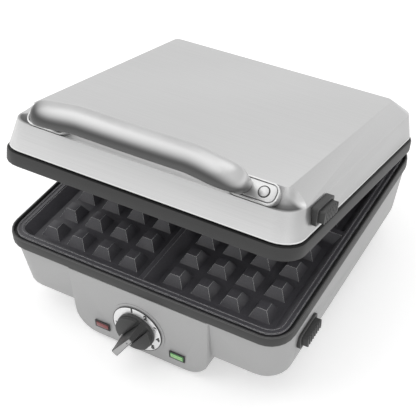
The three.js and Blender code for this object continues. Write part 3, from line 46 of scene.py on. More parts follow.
# Camera, solved from the photograph: its place, where it looks and its lens
CAMERA_PLACE = Vector((0.36235, -0.6297, 0.6972))
CAMERA_AZIMUTH = math.radians(29.77)
CAMERA_ELEVATION = math.radians(40.64)
CAMERA_ROLL = math.radians(-1.03)
CAMERA_SENSOR = 36.0
CAMERA_NEAR = 0.05
CAMERA_FAR = 20.0
IMAGE_WIDTH = 416
FOCAL_PIXELS = 981.1
AXIS_PIXEL = (219.6, 206.8)

# Stage: size and brightness of the floor and the world, and what the lights aim at
FLOOR_SIZE = 6.0
FLOOR_LEVEL = 0.82
FLOOR_GLOW = 0.42
WORLD_LIGHT = 0.72
WORLD_SEEN = 1.0
LIGHT_AIM = Vector((0, 0, 0.1))

# Lid at rest: its middle, its hinge, how far it stands open, and its own directions in the row frame
MIDDLE_X = -2.75 * MM
HINGE_Y = 163.0 * MM
HINGE_Z = 86.2 * MM
LID_OPEN = math.radians(14.5)
LID_UP = (0, math.sin(LID_OPEN), math.cos(LID_OPEN))
LID_BACK = (0, math.cos(LID_OPEN), -math.sin(LID_OPEN))
SIDEWAYS = (1, 0, 0)
HINGE_LEVEL = HINGE_Y * LID_UP[1] + HINGE_Z * LID_UP[2]
HINGE_BACK = HINGE_Y * LID_BACK[1] + HINGE_Z * LID_BACK[2]

# Lid's cove: its chord, whose middle is measured from the hinge, and the turns at its two ends
CHORD_RUN = 14.0 * MM
CHORD_RISE = 14.5 * MM
CHORD_ANGLE = math.atan2(CHORD_RISE, CHORD_RUN)
CHORD_Y = -292.6 * MM
CHORD_Z = 52.75 * MM
CHORD_LEVEL = HINGE_LEVEL + CHORD_Z
COVE_HALF_CHORD = 10.08 * MM
COVE_TURN_X = 119.0 * MM
COVE_TURN_REACH = 12.0 * MM
COVE_TURN_BACK = HINGE_BACK + CHORD_Y + COVE_TURN_REACH

# Handle: the same sizes as its CAD node. Its stations are shares of the way to its middle, widths and drops
HANDLE_ROOT_X = 87.4 * MM
HANDLE_ROOT_Z = 1.5 * MM
HANDLE_RISE = 33.0 * MM
HANDLE_THICKNESS = 16.0 * MM
HANDLE_LEAN = math.radians(11.5)
HANDLE_ARM_REACH = 45.0 * MM
HANDLE_SPAN_REACH = 99.0 * MM
HANDLE_STATIONS = (
    (0.0, 14.0 * MM, 0.0),
    (0.05, 16.0 * MM, 0.4 * MM),
    (0.1, 17.5 * MM, 2.6 * MM),
    (0.3, 23.5 * MM, 5.4 * MM),
    (0.6, 24.5 * MM, 2.1 * MM),
    (1.0, 24.5 * MM, 2.1 * MM),
)
HANDLE_EVEN_STATION = 4
HANDLE_STEPS = 72
HANDLE_SIDES = 48
HANDLE_LINE_STEPS = 600
FLANGE_MIDDLE = 98.0 * MM
FLANGE_HALF_LENGTH = 19.0 * MM
FLANGE_HALF_WIDTH = 7.25 * MM
FLANGE_CORNER = 5.5 * MM
FLANGE_CORNER_STEPS = 8
FLANGE_THICKNESS = 2.4 * MM
FLANGE_TOP = HANDLE_ROOT_Z + FLANGE_THICKNESS
FLANGE_EDGE = 0.5 * MM
FLANGE_EDGE_SHARE = 0.3
CAP_X = 107.0 * MM
CAP_RECESS_RADIUS = 5.1 * MM
CAP_RADIUS = 4.1 * MM
CAP_SHADOW_HEIGHT = 0.1 * MM
CAP_STEPS = 40

# Dial: its face, its dark edge, and what is printed on it and on the pointer
DIAL_X = MIDDLE_X
DIAL_Z = 37.2 * MM
DIAL_FACE_Y = -145.9 * MM
DIAL_RADIUS = 25.3 * MM
DIAL_EDGE_WIDTH = 0.5 * MM
DIAL_EDGE_DEPTH = 0.9 * MM
DIAL_EDGE_STEPS = 96
NUMBER_RADIUS = 22.3 * MM
NUMBER_HEIGHT = 6.4 * MM
NUMBER_BOLDNESS = 0.55 * MM
NUMBER_THICKNESS = 0.02 * MM
NUMBER_LIFT = 0.03 * MM
NUMBER_ANGLES = {"1": 100, "2": 62, "3": 26, "4": -7, "5": -44}
TICK_ANGLE = math.radians(182)
TICK_THICKNESS = 0.05 * MM
DOT_RADIUS = 0.8 * MM
DOT_STEPS = 24
POINTER_DOT_PLACE = (3.2 * MM, -170.48 * MM, 45.6 * MM)
POINTER_DOT_THICKNESS = 0.02 * MM

# Painted light and shade on the lid's metal: shares of the cove's chord with how dark its painted reflection
# is there, painted shade on its sides and a painted highlight along its lower hem
COVE_TONES = ((0.04, 0.3), (0.12, 1.0), (0.3, 0.95), (0.5, 0.55), (0.75, 0.1))
COVE_MIDDLE_TONE = 0.3
COVE_PAINTED_REFLECTION = 0.12
COVE_TURN_BLEND = 14.0 * MM
COVE_AHEAD_BLEND = 6.0 * MM
LID_SIDE_PAINTED_SHADE = 0.5
LID_SIDE_FACING = (0.55, 1.0)
HEM_RISE = 22.0 * MM
HEM_PLACE = HINGE_LEVEL + HEM_RISE
HEM_BLEND = 0.3 * MM
HEM_PAINTED_HIGHLIGHT = 0.8

# Painted shade on the handle bar's underside, painted shadow in the gap along the top of the lid's band,
# painted highlights on rounded edges, and tones of moulded pieces
BAR_LIT_DIRECTION = (0.55, 0.15, 0.82)
BAR_LIT_FACING = (0.2, 0.8)
BAR_PAINTED_SHADE = 0.1
GAP_SHADOW_RISE = 18.3 * MM
GAP_SHADOW_PLACE = HINGE_LEVEL + GAP_SHADOW_RISE
GAP_SHADOW_BLEND = 0.2 * MM
GAP_SHADOW_DARK = 0.004
HIGHLIGHT_DIRECTION = (0.45, -0.75, 0.48)
HIGHLIGHT_FACING = (0.35, 0.72)
HIGHLIGHT_SHARES = (0.8, 1.2)
MOULDED_SHARES = (0.92, 1.08)
MOULDED_DULLER = 0.07
MOULDED_GLOSSIER = 0.05
MOULDED_SPECULAR = 0.3
TRIM_LEVEL = 0.06
TRIM_ROUGHNESS = 0.5
LENS_COAT = 0.4

# Noise: the part of its range that is used, and the depth of the relief that it makes
NOISE_LOW = 0.3
NOISE_HIGH = 0.7
RELIEF_DEPTH = 0.1 * MM

# Rounding of refined nodes: radius in millimetres, inner edges as a share of it, and how it is made
ROUNDED = {
    "lid_cover": 1.2,
    "base_housing": 1.2,
    "lower_bezel": 0.6,
    "upper_bezel": 0.6,
    "lower_waffle_plate": 1.7,
    "upper_waffle_plate": 1.7,
    "temperature_knob": 0.7,
    "knob_pointer": 0.15,
    "dial_ring": 0.3,
    "heating_lamp_frame": 0.25,
    "ready_lamp_frame": 0.25,
    "heating_lamp_lens": 0.6,
    "ready_lamp_lens": 0.6,
    "lower_release_frame": 0.6,
    "upper_release_frame": 0.6,
    "lower_release_button": 0.4,
    "upper_release_button": 0.4,
    "handle_mount_left": 0.4,
    "handle_mount_right": 0.4,
    "handle_screw_left": 0.4,
    "handle_screw_right": 0.4,
}
INNER_SHARE = 0.6
ROUNDING_SEGMENTS = 2
ROUNDING_PROFILE = 0.5
ROUNDED_ANGLE = math.radians(32.0)
SHADED_SHARP_ANGLE = math.radians(30.0)
FLAT_ANGLE = math.radians(0.6)
WELD_DISTANCE = 0.02 * MM

# Finish and body of each node, from the record
SLOT_OF = {part["node"]: part["material_slot"] for part in frame["record"]["subparts"]}
BODY_OF = {
    node: body
    for body, nodes in frame["record"]["behaviour"]["bodies"].items()
    for node in nodes
}


def grey(level):
    """A neutral colour."""
    return (level, level, level)


def make_material(name, color, roughness, metallic=0.0):
    """A principled material, with its node tree's main parts."""
    material = bpy.data.materials.new(name)
    material.use_nodes = True
    tree = material.node_tree
    shader = tree.nodes["Principled BSDF"]
    shader.inputs["Base Color"].default_value = (*color, 1)
    shader.inputs["Roughness"].default_value = roughness
    shader.inputs["Metallic"].default_value = metallic
    return material, tree, shader


def new_node(tree, kind, **values):
    """A shader node with socket values set by name, spaces written as underscores."""
    node = tree.nodes.new(kind)
    for name, value in values.items():
        node.inputs[name.replace("_", " ")].default_value = value
    return node


def stretched_noise(tree, stretch, detail):
    """Noise in object space, fine along the axes where stretch is large."""
    place = tree.nodes.new("ShaderNodeTexCoord")
    mapping = new_node(tree, "ShaderNodeMapping", Scale=stretch)
    noise = new_node(tree, "ShaderNodeTexNoise", Scale=1.0, Detail=detail)
    tree.links.new(place.outputs["Object"], mapping.inputs["Vector"])
    tree.links.new(mapping.outputs["Vector"], noise.inputs["Vector"])
    return noise


def even_noise(tree, fineness, detail):
    """Noise in object space, as fine along each axis."""
    return stretched_noise(tree, (fineness, fineness, fineness), detail)


def vary(tree, noise, shader, low, high):
    """A roughness that follows a noise between two values."""
    spread = new_node(
        tree, "ShaderNodeMapRange",
        From_Min=NOISE_LOW, From_Max=NOISE_HIGH, To_Min=low, To_Max=high,
    )
    tree.links.new(noise.outputs["Fac"], spread.inputs["Value"])
    tree.links.new(spread.outputs["Result"], shader.inputs["Roughness"])


def tint(tree, noise, shader, dark, light):
    """A base colour that follows a noise between two shades."""
    ramp = tree.nodes.new("ShaderNodeValToRGB")
    ramp.color_ramp.elements[0].position = NOISE_LOW
    ramp.color_ramp.elements[1].position = NOISE_HIGH
    ramp.color_ramp.elements[0].color = (*dark, 1)
    ramp.color_ramp.elements[1].color = (*light, 1)
    tree.links.new(noise.outputs["Fac"], ramp.inputs["Fac"])
    tree.links.new(ramp.outputs["Color"], shader.inputs["Base Color"])


def bump(tree, noise, shader, strength):
    """Fine relief from a noise."""
    relief = new_node(tree, "ShaderNodeBump", Strength=strength, Distance=RELIEF_DEPTH)
    tree.links.new(noise.outputs["Fac"], relief.inputs["Height"])
    tree.links.new(relief.outputs["Normal"], shader.inputs["Normal"])


def along_direction(tree, output, direction):
    """The part of an object's own place or normal along a direction."""
    place = tree.nodes.new("ShaderNodeTexCoord")
    part = tree.nodes.new("ShaderNodeVectorMath")
    part.operation = "DOT_PRODUCT"
    part.inputs[1].default_value = direction
    tree.links.new(place.outputs[output], part.inputs[0])
    return part.outputs["Value"]


def spread_over(tree, value, low, high):
    """A value spread smoothly from zero at low to one at high."""
    spread = new_node(tree, "ShaderNodeMapRange", From_Min=low, From_Max=high)
    spread.interpolation_type = "SMOOTHSTEP"
    tree.links.new(value, spread.inputs["Value"])
    return spread.outputs["Result"]


def shade_between(tree, shader, factor, shade):
    """Gives the base colour another shade where the factor is zero, and keeps it where it is one."""
    tone = tree.nodes.new("ShaderNodeMix")
    tone.data_type = "RGBA"
    tone.inputs[6].default_value = (*shade, 1)
    tree.links.new(shader.inputs["Base Color"].links[0].from_socket, tone.inputs[7])
    tree.links.new(factor, tone.inputs["Factor"])
    tree.links.new(tone.outputs[2], shader.inputs["Base Color"])


def compute(tree, operation, first, second=0.0):
    """A calculation on two values, each a socket or a number."""
    node = tree.nodes.new("ShaderNodeMath")
    node.operation = operation
    for value, socket in zip((first, second), node.inputs):
        if isinstance(value, bpy.types.NodeSocket):
            tree.links.new(value, socket)
        else:
            socket.default_value = value
    return node.outputs["Value"]


def product(tree, first, second):
    """Two values multiplied, each a socket or a number."""
    return compute(tree, "MULTIPLY", first, second)


def cove_inset(tree, reach, back):
    """How far inside the lid's outline a place lies, measured round the turns of the cove."""
    beyond = compute(tree, "MAXIMUM", compute(tree, "SUBTRACT", reach, COVE_TURN_X))
    front = compute(tree, "MINIMUM", back)
    square = compute(tree, "ADD", product(tree, beyond, beyond), product(tree, front, front))
    return compute(tree, "SUBTRACT", COVE_TURN_REACH, compute(tree, "SQRT", square))


def cove_darkness(tree, inset, rise):
    """How dark the cove's painted reflection is at a place along its chord."""
    chord = compute(
        tree, "ADD",
        product(tree, inset, math.cos(CHORD_ANGLE)),
        product(tree, rise, math.sin(CHORD_ANGLE)),
    )
    place = new_node(tree, "ShaderNodeMapRange", From_Min=-COVE_HALF_CHORD, From_Max=COVE_HALF_CHORD)
    tree.links.new(chord, place.inputs["Value"])
    ramp = tree.nodes.new("ShaderNodeValToRGB")
    stops = ramp.color_ramp.elements
    stops[0].color = (*grey(0), 1)
    stops[1].color = (*grey(0), 1)
    for position, level in COVE_TONES:
        stops.new(position).color = (*grey(level), 1)
    tree.links.new(place.outputs["Result"], ramp.inputs["Fac"])
    return ramp.outputs["Color"]


def cove_shade(tree):
    """How light the lid's cove is left by its painted dark reflection: dark low down where it turns round the
    lid's corners.
    """
    across = compute(tree, "SUBTRACT", along_direction(tree, "Object", SIDEWAYS), MIDDLE_X)
    reach = compute(tree, "ABSOLUTE", across)
    back = compute(tree, "SUBTRACT", along_direction(tree, "Object", LID_BACK), COVE_TURN_BACK)
    rise = compute(tree, "SUBTRACT", along_direction(tree, "Object", LID_UP), CHORD_LEVEL)
    darkness = cove_darkness(tree, cove_inset(tree, reach, back), rise)
    turned = spread_over(tree, reach, COVE_TURN_X - COVE_TURN_BLEND, COVE_TURN_X)
    strength = compute(tree, "ADD", product(tree, turned, 1 - COVE_MIDDLE_TONE), COVE_MIDDLE_TONE)
    ahead = spread_over(tree, back, 0.0, -COVE_AHEAD_BLEND)
    return compute(tree, "SUBTRACT", 1.0, product(tree, product(tree, darkness, strength), ahead))


def brushed_steel():
    """Fine-brushed stainless steel of the lid, its grain along X, with painted dark reflections in its cove,
    painted shade on its sides and a painted highlight along its lower hem.
    """
    material, tree, shader = make_material("brushed_steel", grey(0.60), roughness=0.42, metallic=0.85)
    grain = stretched_noise(tree, (14, 1400, 1400), detail=3.0)
    tint(tree, grain, shader, dark=grey(0.67), light=grey(0.71))
    vary(tree, even_noise(tree, 9, detail=2.0), shader, low=0.40, high=0.48)
    bump(tree, grain, shader, strength=0.04)
    # Painted dark reflection in the cove, strongest low down where it turns round the lid's corners
    shade_between(tree, shader, cove_shade(tree), grey(COVE_PAINTED_REFLECTION))
    # Painted shade on surfaces that face to the right
    least, most = LID_SIDE_FACING
    side_unshaded = spread_over(tree, along_direction(tree, "Normal", SIDEWAYS), most, least)
    shade_between(tree, shader, side_unshaded, grey(LID_SIDE_PAINTED_SHADE))
    # Painted highlight along the lid's lower hem
    rise = along_direction(tree, "Object", LID_UP)
    shade_between(tree, shader, spread_over(tree, rise, HEM_PLACE - HEM_BLEND, HEM_PLACE), grey(HEM_PAINTED_HIGHLIGHT))
    return material


def polished_steel():
    """Satin cast metal of the handle's flanges, trays and screws."""
    material, tree, shader = make_material("satin_metal", grey(0.68), roughness=0.36, metallic=0.8)
    cloud = even_noise(tree, 60, detail=5.0)
    tint(tree, cloud, shader, dark=grey(0.64), light=grey(0.7))
    vary(tree, cloud, shader, low=0.33, high=0.40)
    return material


def bar_steel():
    """The handle bar's satin metal, with painted shade: light where it faces up or to the right, and painted
    dark below.
    """
    material, tree, shader = make_material("bar_metal", grey(0.6), roughness=0.36, metallic=0.8)
    cloud = even_noise(tree, 60, detail=5.0)
    tint(tree, cloud, shader, dark=grey(0.6), light=grey(0.64))
    # Painted shade: dark where the bar faces away from the light, below
    facing = along_direction(tree, "Normal", BAR_LIT_DIRECTION)
    shade_between(tree, shader, spread_over(tree, facing, *BAR_LIT_FACING), grey(BAR_PAINTED_SHADE))
    vary(tree, cloud, shader, low=0.33, high=0.40)
    return material


def silver_paint():
    """Silver paint with fine metallic flakes."""
    material, tree, shader = make_material("silver_paint", grey(0.42), roughness=0.45, metallic=0.4)
    flakes = even_noise(tree, 2600, detail=2.0)
    tint(tree, flakes, shader, dark=grey(0.445), light=grey(0.485))
    vary(tree, flakes, shader, low=0.42, high=0.52)
    return material


def moulded(name, level, roughness, grain=1500):
    """Moulded plastic or rubber with a fine spark-eroded texture."""
    material, tree, shader = make_material(name, grey(level), roughness)
    shader.inputs["Specular IOR Level"].default_value = MOULDED_SPECULAR
    noise = even_noise(tree, grain, detail=3.0)
    dark_share, light_share = MOULDED_SHARES
    tint(tree, noise, shader, dark=grey(level * dark_share), light=grey(level * light_share))
    vary(tree, noise, shader, low=roughness - MOULDED_GLOSSIER, high=roughness + MOULDED_DULLER)
    bump(tree, noise, shader, strength=0.12)
    return material


def nonstick():
    """Dark non-stick coating, half glossy, a little violet."""
    material, tree, shader = make_material("nonstick", (0.03, 0.029, 0.034), roughness=0.3)
    noise = even_noise(tree, 700, detail=4.0)
    tint(tree, noise, shader, dark=(0.082, 0.08, 0.089), light=(0.102, 0.1, 0.11))
    vary(tree, noise, shader, low=0.28, high=0.4)
    bump(tree, noise, shader, strength=0.1)
    return material


def painted_edge_highlight(name, dark, light):
    """Painted highlight along the rounded edges of a coating or a moulding, strongest where they face the
    front right.
    """
    material, tree, shader = make_material(name, grey(light), roughness=0.35)
    noise = even_noise(tree, 900, detail=4.0)
    dark_share, light_share = HIGHLIGHT_SHARES
    tint(tree, noise, shader, dark=grey(light * dark_share), light=grey(light * light_share))
    # Painted highlight, lighter where the edge faces the front right
    facing = along_direction(tree, "Normal", HIGHLIGHT_DIRECTION)
    shade_between(tree, shader, spread_over(tree, facing, *HIGHLIGHT_FACING), grey(dark))
    return material


def trim_with_gap_shadow():
    """Moulded trim of the lid's band, with a painted black shadow along its upper edge, in the gap under the
    cover.
    """
    material = moulded("dark_trim_with_gap_shadow", TRIM_LEVEL, TRIM_ROUGHNESS)
    tree = material.node_tree
    rise = along_direction(tree, "Object", LID_UP)
    # Painted black shadow along the band's upper edge, in the gap under the cover
    below = spread_over(tree, rise, GAP_SHADOW_PLACE + GAP_SHADOW_BLEND, GAP_SHADOW_PLACE)
    shade_between(tree, tree.nodes["Principled BSDF"], below, grey(GAP_SHADOW_DARK))
    return material


def lens(name, dark, light):
    """Glossy coloured lens, finely mottled between two shades."""
    material, tree, shader = make_material(name, dark, roughness=0.18)
    tint(tree, even_noise(tree, 900, detail=1.0), shader, dark, light)
    shader.inputs["Coat Weight"].default_value = LENS_COAT
    return material


def white_metal():
    """White satin finish of the dial ring and the lamp frames."""
    material, tree, shader = make_material("white_satin", grey(0.9), roughness=0.42, metallic=0.6)
    tint(tree, even_noise(tree, 800, detail=2.0), shader, dark=grey(0.88), light=grey(0.94))
    return material


def plated_steel():
    """Zinc-plated sheet, slightly blotched."""
    material, tree, shader = make_material("plated_steel", grey(0.5), roughness=0.4, metallic=1.0)
    noise = even_noise(tree, 120, detail=6.0)
    tint(tree, noise, shader, dark=(0.44, 0.45, 0.47), light=(0.56, 0.57, 0.58))
    vary(tree, noise, shader, low=0.32, high=0.5)
    return material


FINISHES = {
    "brushed_steel": brushed_steel(),
    "polished_steel": polished_steel(),
    "silver_paint": silver_paint(),
    "nonstick": nonstick(),
    "dark_grey_trim": moulded("dark_grey_trim", TRIM_LEVEL, TRIM_ROUGHNESS),
    "dark_grey_metal": moulded("dark_grey_metal", level=0.05, roughness=0.45),
    "black_plastic": moulded("black_plastic", level=0.06, roughness=0.42),
    "foot_rubber": moulded("foot_rubber", level=0.018, roughness=0.8, grain=900),
    "pale_plastic": moulded("pale_plastic", level=0.7, roughness=0.5),
    "white_metal": white_metal(),
    "red_lens": lens("red_lens", dark=(0.22, 0.028, 0.03), light=(0.3, 0.045, 0.045)),
    "green_lens": lens("green_lens", dark=(0.26, 0.62, 0.2), light=(0.42, 0.76, 0.32)),
    "plated_steel": plated_steel(),
    "bulb_glass": lens("bulb_glass", dark=(0.5, 0.42, 0.36), light=(0.62, 0.55, 0.5)),
}
GAP_SHADOWED_TRIM = trim_with_gap_shadow()
BAR_STEEL = bar_steel()

# Painted highlight on the rounded edges of plates, trims and plastic pieces, and the lenses' darker rims,
# where it is not the node's own finish
EDGE_HIGHLIGHTS_AND_LENS_RIMS = {
    "coating_edge_highlight": painted_edge_highlight("coating_edge_highlight", dark=0.12, light=0.95),
    "trim_edge_highlight": painted_edge_highlight("trim_edge_highlight", dark=0.07, light=0.15),
    "plastic_edge_highlight": painted_edge_highlight("plastic_edge_highlight", dark=0.05, light=0.12),
    "red_lens_edge": lens("red_lens_edge", dark=(0.1, 0.01, 0.012), light=(0.14, 0.02, 0.02)),
    "green_lens_edge": lens("green_lens_edge", dark=(0.04, 0.24, 0.06), light=(0.07, 0.32, 0.09)),
}
EDGE_HIGHLIGHT_OR_RIM_OF = {
    "lower_waffle_plate": "coating_edge_highlight",
    "upper_waffle_plate": "coating_edge_highlight",
    "lower_bezel": "trim_edge_highlight",
    "temperature_knob": "plastic_edge_highlight",
    "lower_release_frame": "plastic_edge_highlight",
    "upper_release_frame": "plastic_edge_highlight",
    "lower_release_button": "plastic_edge_highlight",
    "upper_release_button": "plastic_edge_highlight",
    "heating_lamp_lens": "red_lens_edge",
    "ready_lamp_lens": "green_lens_edge",
}


def add_object(name, data):
    """An object in the scene that holds a mesh, a curve, a light or a camera."""
    piece = bpy.data.objects.new(name, data)
    bpy.context.scene.collection.objects.link(piece)
    return piece


def paint(piece, slot):
    """Gives an object one finish."""
    piece.data.materials.clear()
    piece.data.materials.append(FINISHES[slot])


def smooth_by_angle(piece):
    """Marks sharp edges, and shades the rest smooth."""
    mesh = bmesh.new()
    mesh.from_mesh(piece.data)
    for face in mesh.faces:
        face.smooth = True
    for edge in mesh.edges:
        edge.smooth = len(edge.link_faces) == 2 and edge.calc_face_angle(0) < SHADED_SHARP_ANGLE
    mesh.to_mesh(piece.data)
    mesh.free()


def round_edges(mesh, outer, radius, material):
    """Rounds the sharp outer or inner edges of a mesh, as far as their neighbours leave room."""
    edges = [
        edge for edge in mesh.edges
        if len(edge.link_faces) == 2
        and edge.calc_face_angle(0) > ROUNDED_ANGLE
        and edge.is_convex == outer
    ]
    bmesh.ops.bevel(
        mesh,
        geom=edges,
        offset=radius,
        segments=ROUNDING_SEGMENTS,
        profile=ROUNDING_PROFILE,
        affect="EDGES",
        clamp_overlap=True,
        material=material,
    )


def refined(node, radius):
    """A copy of a CAD node with its edges rounded, that stands for the node."""
    piece = add_object(f"{node}_finished", frame["nodes"][node].data.copy())
    mesh = bmesh.new()
    mesh.from_mesh(piece.data)
    bmesh.ops.remove_doubles(mesh, verts=mesh.verts, dist=WELD_DISTANCE)
    bmesh.ops.dissolve_limit(
        mesh,
        angle_limit=FLAT_ANGLE,
        use_dissolve_boundaries=False,
        verts=mesh.verts,
        edges=mesh.edges,
        delimit=set(),
    )
    # Outer rounded edges of listed nodes take a second material: a painted highlight, or a lens's darker rim
    round_edges(mesh, True, radius, material=1 if node in EDGE_HIGHLIGHT_OR_RIM_OF else 0)
    round_edges(mesh, False, radius * INNER_SHARE, material=0)
    mesh.to_mesh(piece.data)
    mesh.free()
    smooth_by_angle(piece)
    places = [polygon.material_index for polygon in piece.data.polygons]
    paint(piece, SLOT_OF[node])
    # The lid's band takes the trim with its painted gap shadow
    if node == "upper_bezel":
        piece.data.materials[0] = GAP_SHADOWED_TRIM
    if node in EDGE_HIGHLIGHT_OR_RIM_OF:
        piece.data.materials.append(EDGE_HIGHLIGHTS_AND_LENS_RIMS[EDGE_HIGHLIGHT_OR_RIM_OF[node]])
        piece.data.polygons.foreach_set("material_index", places)
    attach(piece, BODY_OF[node])
    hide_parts(node)


def join_rings(mesh, near, far):
    """Faces between two rings that have as many vertices."""
    for index in range(len(near)):
        turn = (index + 1) % len(near)
        mesh.faces.new((near[index], near[turn], far[turn], far[index]))


def add_piece(name, lofts, slot, body, capped=True):
    """A mesh piece from one or more lofts of rings of points, each capped or led round to its start."""
    piece = add_object(name, bpy.data.meshes.new(name))
    mesh = bmesh.new()
    for loft in lofts:
        rows = [[mesh.verts.new(point) for point in ring] for ring in loft]
        for near, far in zip(rows, rows[1:]):
            join_rings(mesh, near, far)
        if capped:
            mesh.faces.new(list(reversed(rows[0])))
            mesh.faces.new(rows[-1])
        else:
            join_rings(mesh, rows[-1], rows[0])
    bmesh.ops.recalc_face_normals(mesh, faces=mesh.faces)
    mesh.to_mesh(piece.data)
    mesh.free()
    smooth_by_angle(piece)
    paint(piece, slot)
    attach(piece, body)
    return piece


def circle(radius, steps):
    """Points of a circle round the origin."""
    angles = [2 * math.pi * step / steps for step in range(steps)]
    return [(radius * math.cos(angle), radius * math.sin(angle)) for angle in angles]


def flange_outline(inset):
    """Points round a flange with its round corners, set in from its full size."""
    corner = FLANGE_CORNER - inset
    points = []
    for quarter, (sx, sy) in enumerate(((1, 1), (-1, 1), (-1, -1), (1, -1))):
        for step in range(FLANGE_CORNER_STEPS + 1):
            angle = math.pi / 2 * (quarter + step / FLANGE_CORNER_STEPS)
            points.append((
                sx * (FLANGE_HALF_LENGTH - FLANGE_CORNER) + corner * math.cos(angle),
                sy * (FLANGE_HALF_WIDTH - FLANGE_CORNER) + corner * math.sin(angle),
            ))
    return points


def on_chord(x, along, out):
    """A point of the lid's cove, given along its chord and out of it, at rest."""
    y = CHORD_Y + along * math.cos(CHORD_ANGLE) - out * math.sin(CHORD_ANGLE)
    z = CHORD_Z + along * math.sin(CHORD_ANGLE) + out * math.cos(CHORD_ANGLE)
    return Vector((
        MIDDLE_X + x,
        HINGE_Y + y * math.cos(LID_OPEN) + z * math.sin(LID_OPEN),
        HINGE_Z - y * math.sin(LID_OPEN) + z * math.cos(LID_OPEN),
    ))


def station_slope(places, values, index):
    """Slope of the handle's width or drop at a station, level where the bar is even."""
    if index >= HANDLE_EVEN_STATION:
        return 0.0
    before = max(index - 1, 0)
    after = index + 1
    return (values[after] - values[before]) / (places[after] - places[before])


def handle_section(share):
    """Width and drop of the handle at a share of the way from its root to its middle."""
    places, *columns = zip(*HANDLE_STATIONS)
    index = max(i for i in range(len(places) - 1) if places[i] <= share)
    span = places[index + 1] - places[index]
    part = (share - places[index]) / span
    return [
        (2 * part ** 3 - 3 * part ** 2 + 1) * values[index]
        + (part ** 3 - 2 * part ** 2 + part) * span * station_slope(places, values, index)
        + (3 * part ** 2 - 2 * part ** 3) * values[index + 1]
        + (part ** 3 - part ** 2) * span * station_slope(places, values, index + 1)
        for values in columns
    ]


def handle_curve(t):
    """A point of the curve that half the handle's middle line follows, from its root to its crown."""
    root = Vector((HANDLE_ROOT_X, HANDLE_ROOT_Z))
    arm = root + HANDLE_ARM_REACH * Vector((math.sin(HANDLE_LEAN), math.cos(HANDLE_LEAN)))
    reach = Vector((HANDLE_SPAN_REACH, HANDLE_RISE))
    crown = Vector((0, HANDLE_RISE))
    return root * (1 - t) ** 3 + arm * 3 * t * (1 - t) ** 2 + reach * 3 * t * t * (1 - t) + crown * t ** 3


def handle_line():
    """Evenly spaced points and directions along half the handle's middle line."""
    points = [handle_curve(step / HANDLE_LINE_STEPS) for step in range(HANDLE_LINE_STEPS + 1)]
    lengths = [0.0]
    for near, far in zip(points, points[1:]):
        lengths.append(lengths[-1] + (far - near).length)
    line = []
    place = 0
    for step in range(HANDLE_STEPS + 1):
        target = lengths[-1] * step / HANDLE_STEPS
        while place < HANDLE_LINE_STEPS - 1 and lengths[place + 1] < target:
            place += 1
        part = (target - lengths[place]) / (lengths[place + 1] - lengths[place])
        point = points[place].lerp(points[place + 1], part)
        line.append((point, (points[place + 1] - points[place]).normalized()))
    return line


def bar_rings():
    """Rings of points round the arched bar, from its right root to its left one."""
    right = []
    for step, (point, along) in enumerate(handle_line()):
        width, drop = handle_section(step / HANDLE_STEPS)
        lean = Vector((0, 1)) if step == 0 else along
        ring = []
        for outward, sideward in circle(1.0, HANDLE_SIDES):
            out = HANDLE_THICKNESS / 2 * outward
            ring.append((point.x + out * lean.y, width / 2 * sideward - drop, point.y - out * lean.x))
        right.append(ring)
    left = [[(-x, y, z) for x, y, z in ring] for ring in reversed(right[:-1])]
    return [[on_chord(*point) for point in ring] for ring in right + left]


def flange_rings(side):
    """Rings of points of one flange, its upper edge a little rounded."""
    shoulder = FLANGE_EDGE * FLANGE_EDGE_SHARE
    return [
        [on_chord(side * FLANGE_MIDDLE + x, y, height) for x, y in flange_outline(inset)]
        for inset, height in (
            (0, HANDLE_ROOT_Z),
            (0, FLANGE_TOP - FLANGE_EDGE),
            (shoulder, FLANGE_TOP - shoulder),
            (FLANGE_EDGE, FLANGE_TOP),
        )
    ]


def cap_shadow_rings(side):
    """Rings of points of the thin black ring round one screw's cap, a painted shadow where its recess would
    be.
    """
    ring_top = FLANGE_TOP + CAP_SHADOW_HEIGHT
    return [
        [on_chord(side * CAP_X + x, y, height) for x, y in circle(radius, CAP_STEPS)]
        for radius, height in (
            (CAP_RADIUS, FLANGE_TOP),
            (CAP_RECESS_RADIUS, FLANGE_TOP),
            (CAP_RECESS_RADIUS, ring_top),
            (CAP_RADIUS, ring_top),
        )
    ]


def add_handle():
    """The arched handle, its two flanges and the painted shadow rings round its caps."""
    piece = add_piece("handle_finished", [bar_rings()], "polished_steel", "lid")
    # The bar's material, with its painted shade below
    piece.data.materials[0] = BAR_STEEL
    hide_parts("handle_bar")
    add_piece("handle_flanges", [flange_rings(side) for side in (-1, 1)], "polished_steel", "lid")
    for side, name in ((-1, "left"), (1, "right")):
        # Thin black rings round the caps: a painted shadow of recesses that the flanges lack
        add_piece(f"cap_shadow_{name}", [cap_shadow_rings(side)], "black_plastic", "lid", capped=False)


def on_dial(radius, angle, lift=0.0):
    """A place on the dial's face, or a little in front of it."""
    return (DIAL_X + radius * math.cos(angle), DIAL_FACE_Y - lift, DIAL_Z + radius * math.sin(angle))


def number_mesh(text):
    """The flat mesh of one number."""
    curve = bpy.data.curves.new(f"number_{text}", "FONT")
    curve.body = text
    curve.size = NUMBER_HEIGHT
    curve.align_x = "CENTER"
    curve.align_y = "CENTER"
    curve.extrude = NUMBER_THICKNESS
    curve.offset = NUMBER_BOLDNESS
    maker = add_object(f"number_{text}_curve", curve)
    bpy.context.view_layer.update()
    data = bpy.data.meshes.new_from_object(maker.evaluated_get(bpy.context.evaluated_depsgraph_get()))
    bpy.data.objects.remove(maker)
    return data


def add_number(text, angle):
    """One number printed on the dial."""
    data = number_mesh(text)
    place = Matrix.Translation(on_dial(NUMBER_RADIUS, angle, NUMBER_LIFT))
    data.transform(place @ Matrix.Rotation(math.pi / 2, 4, "X"))
    piece = add_object(f"number_{text}", data)
    paint(piece, "black_plastic")
    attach(piece, "base")


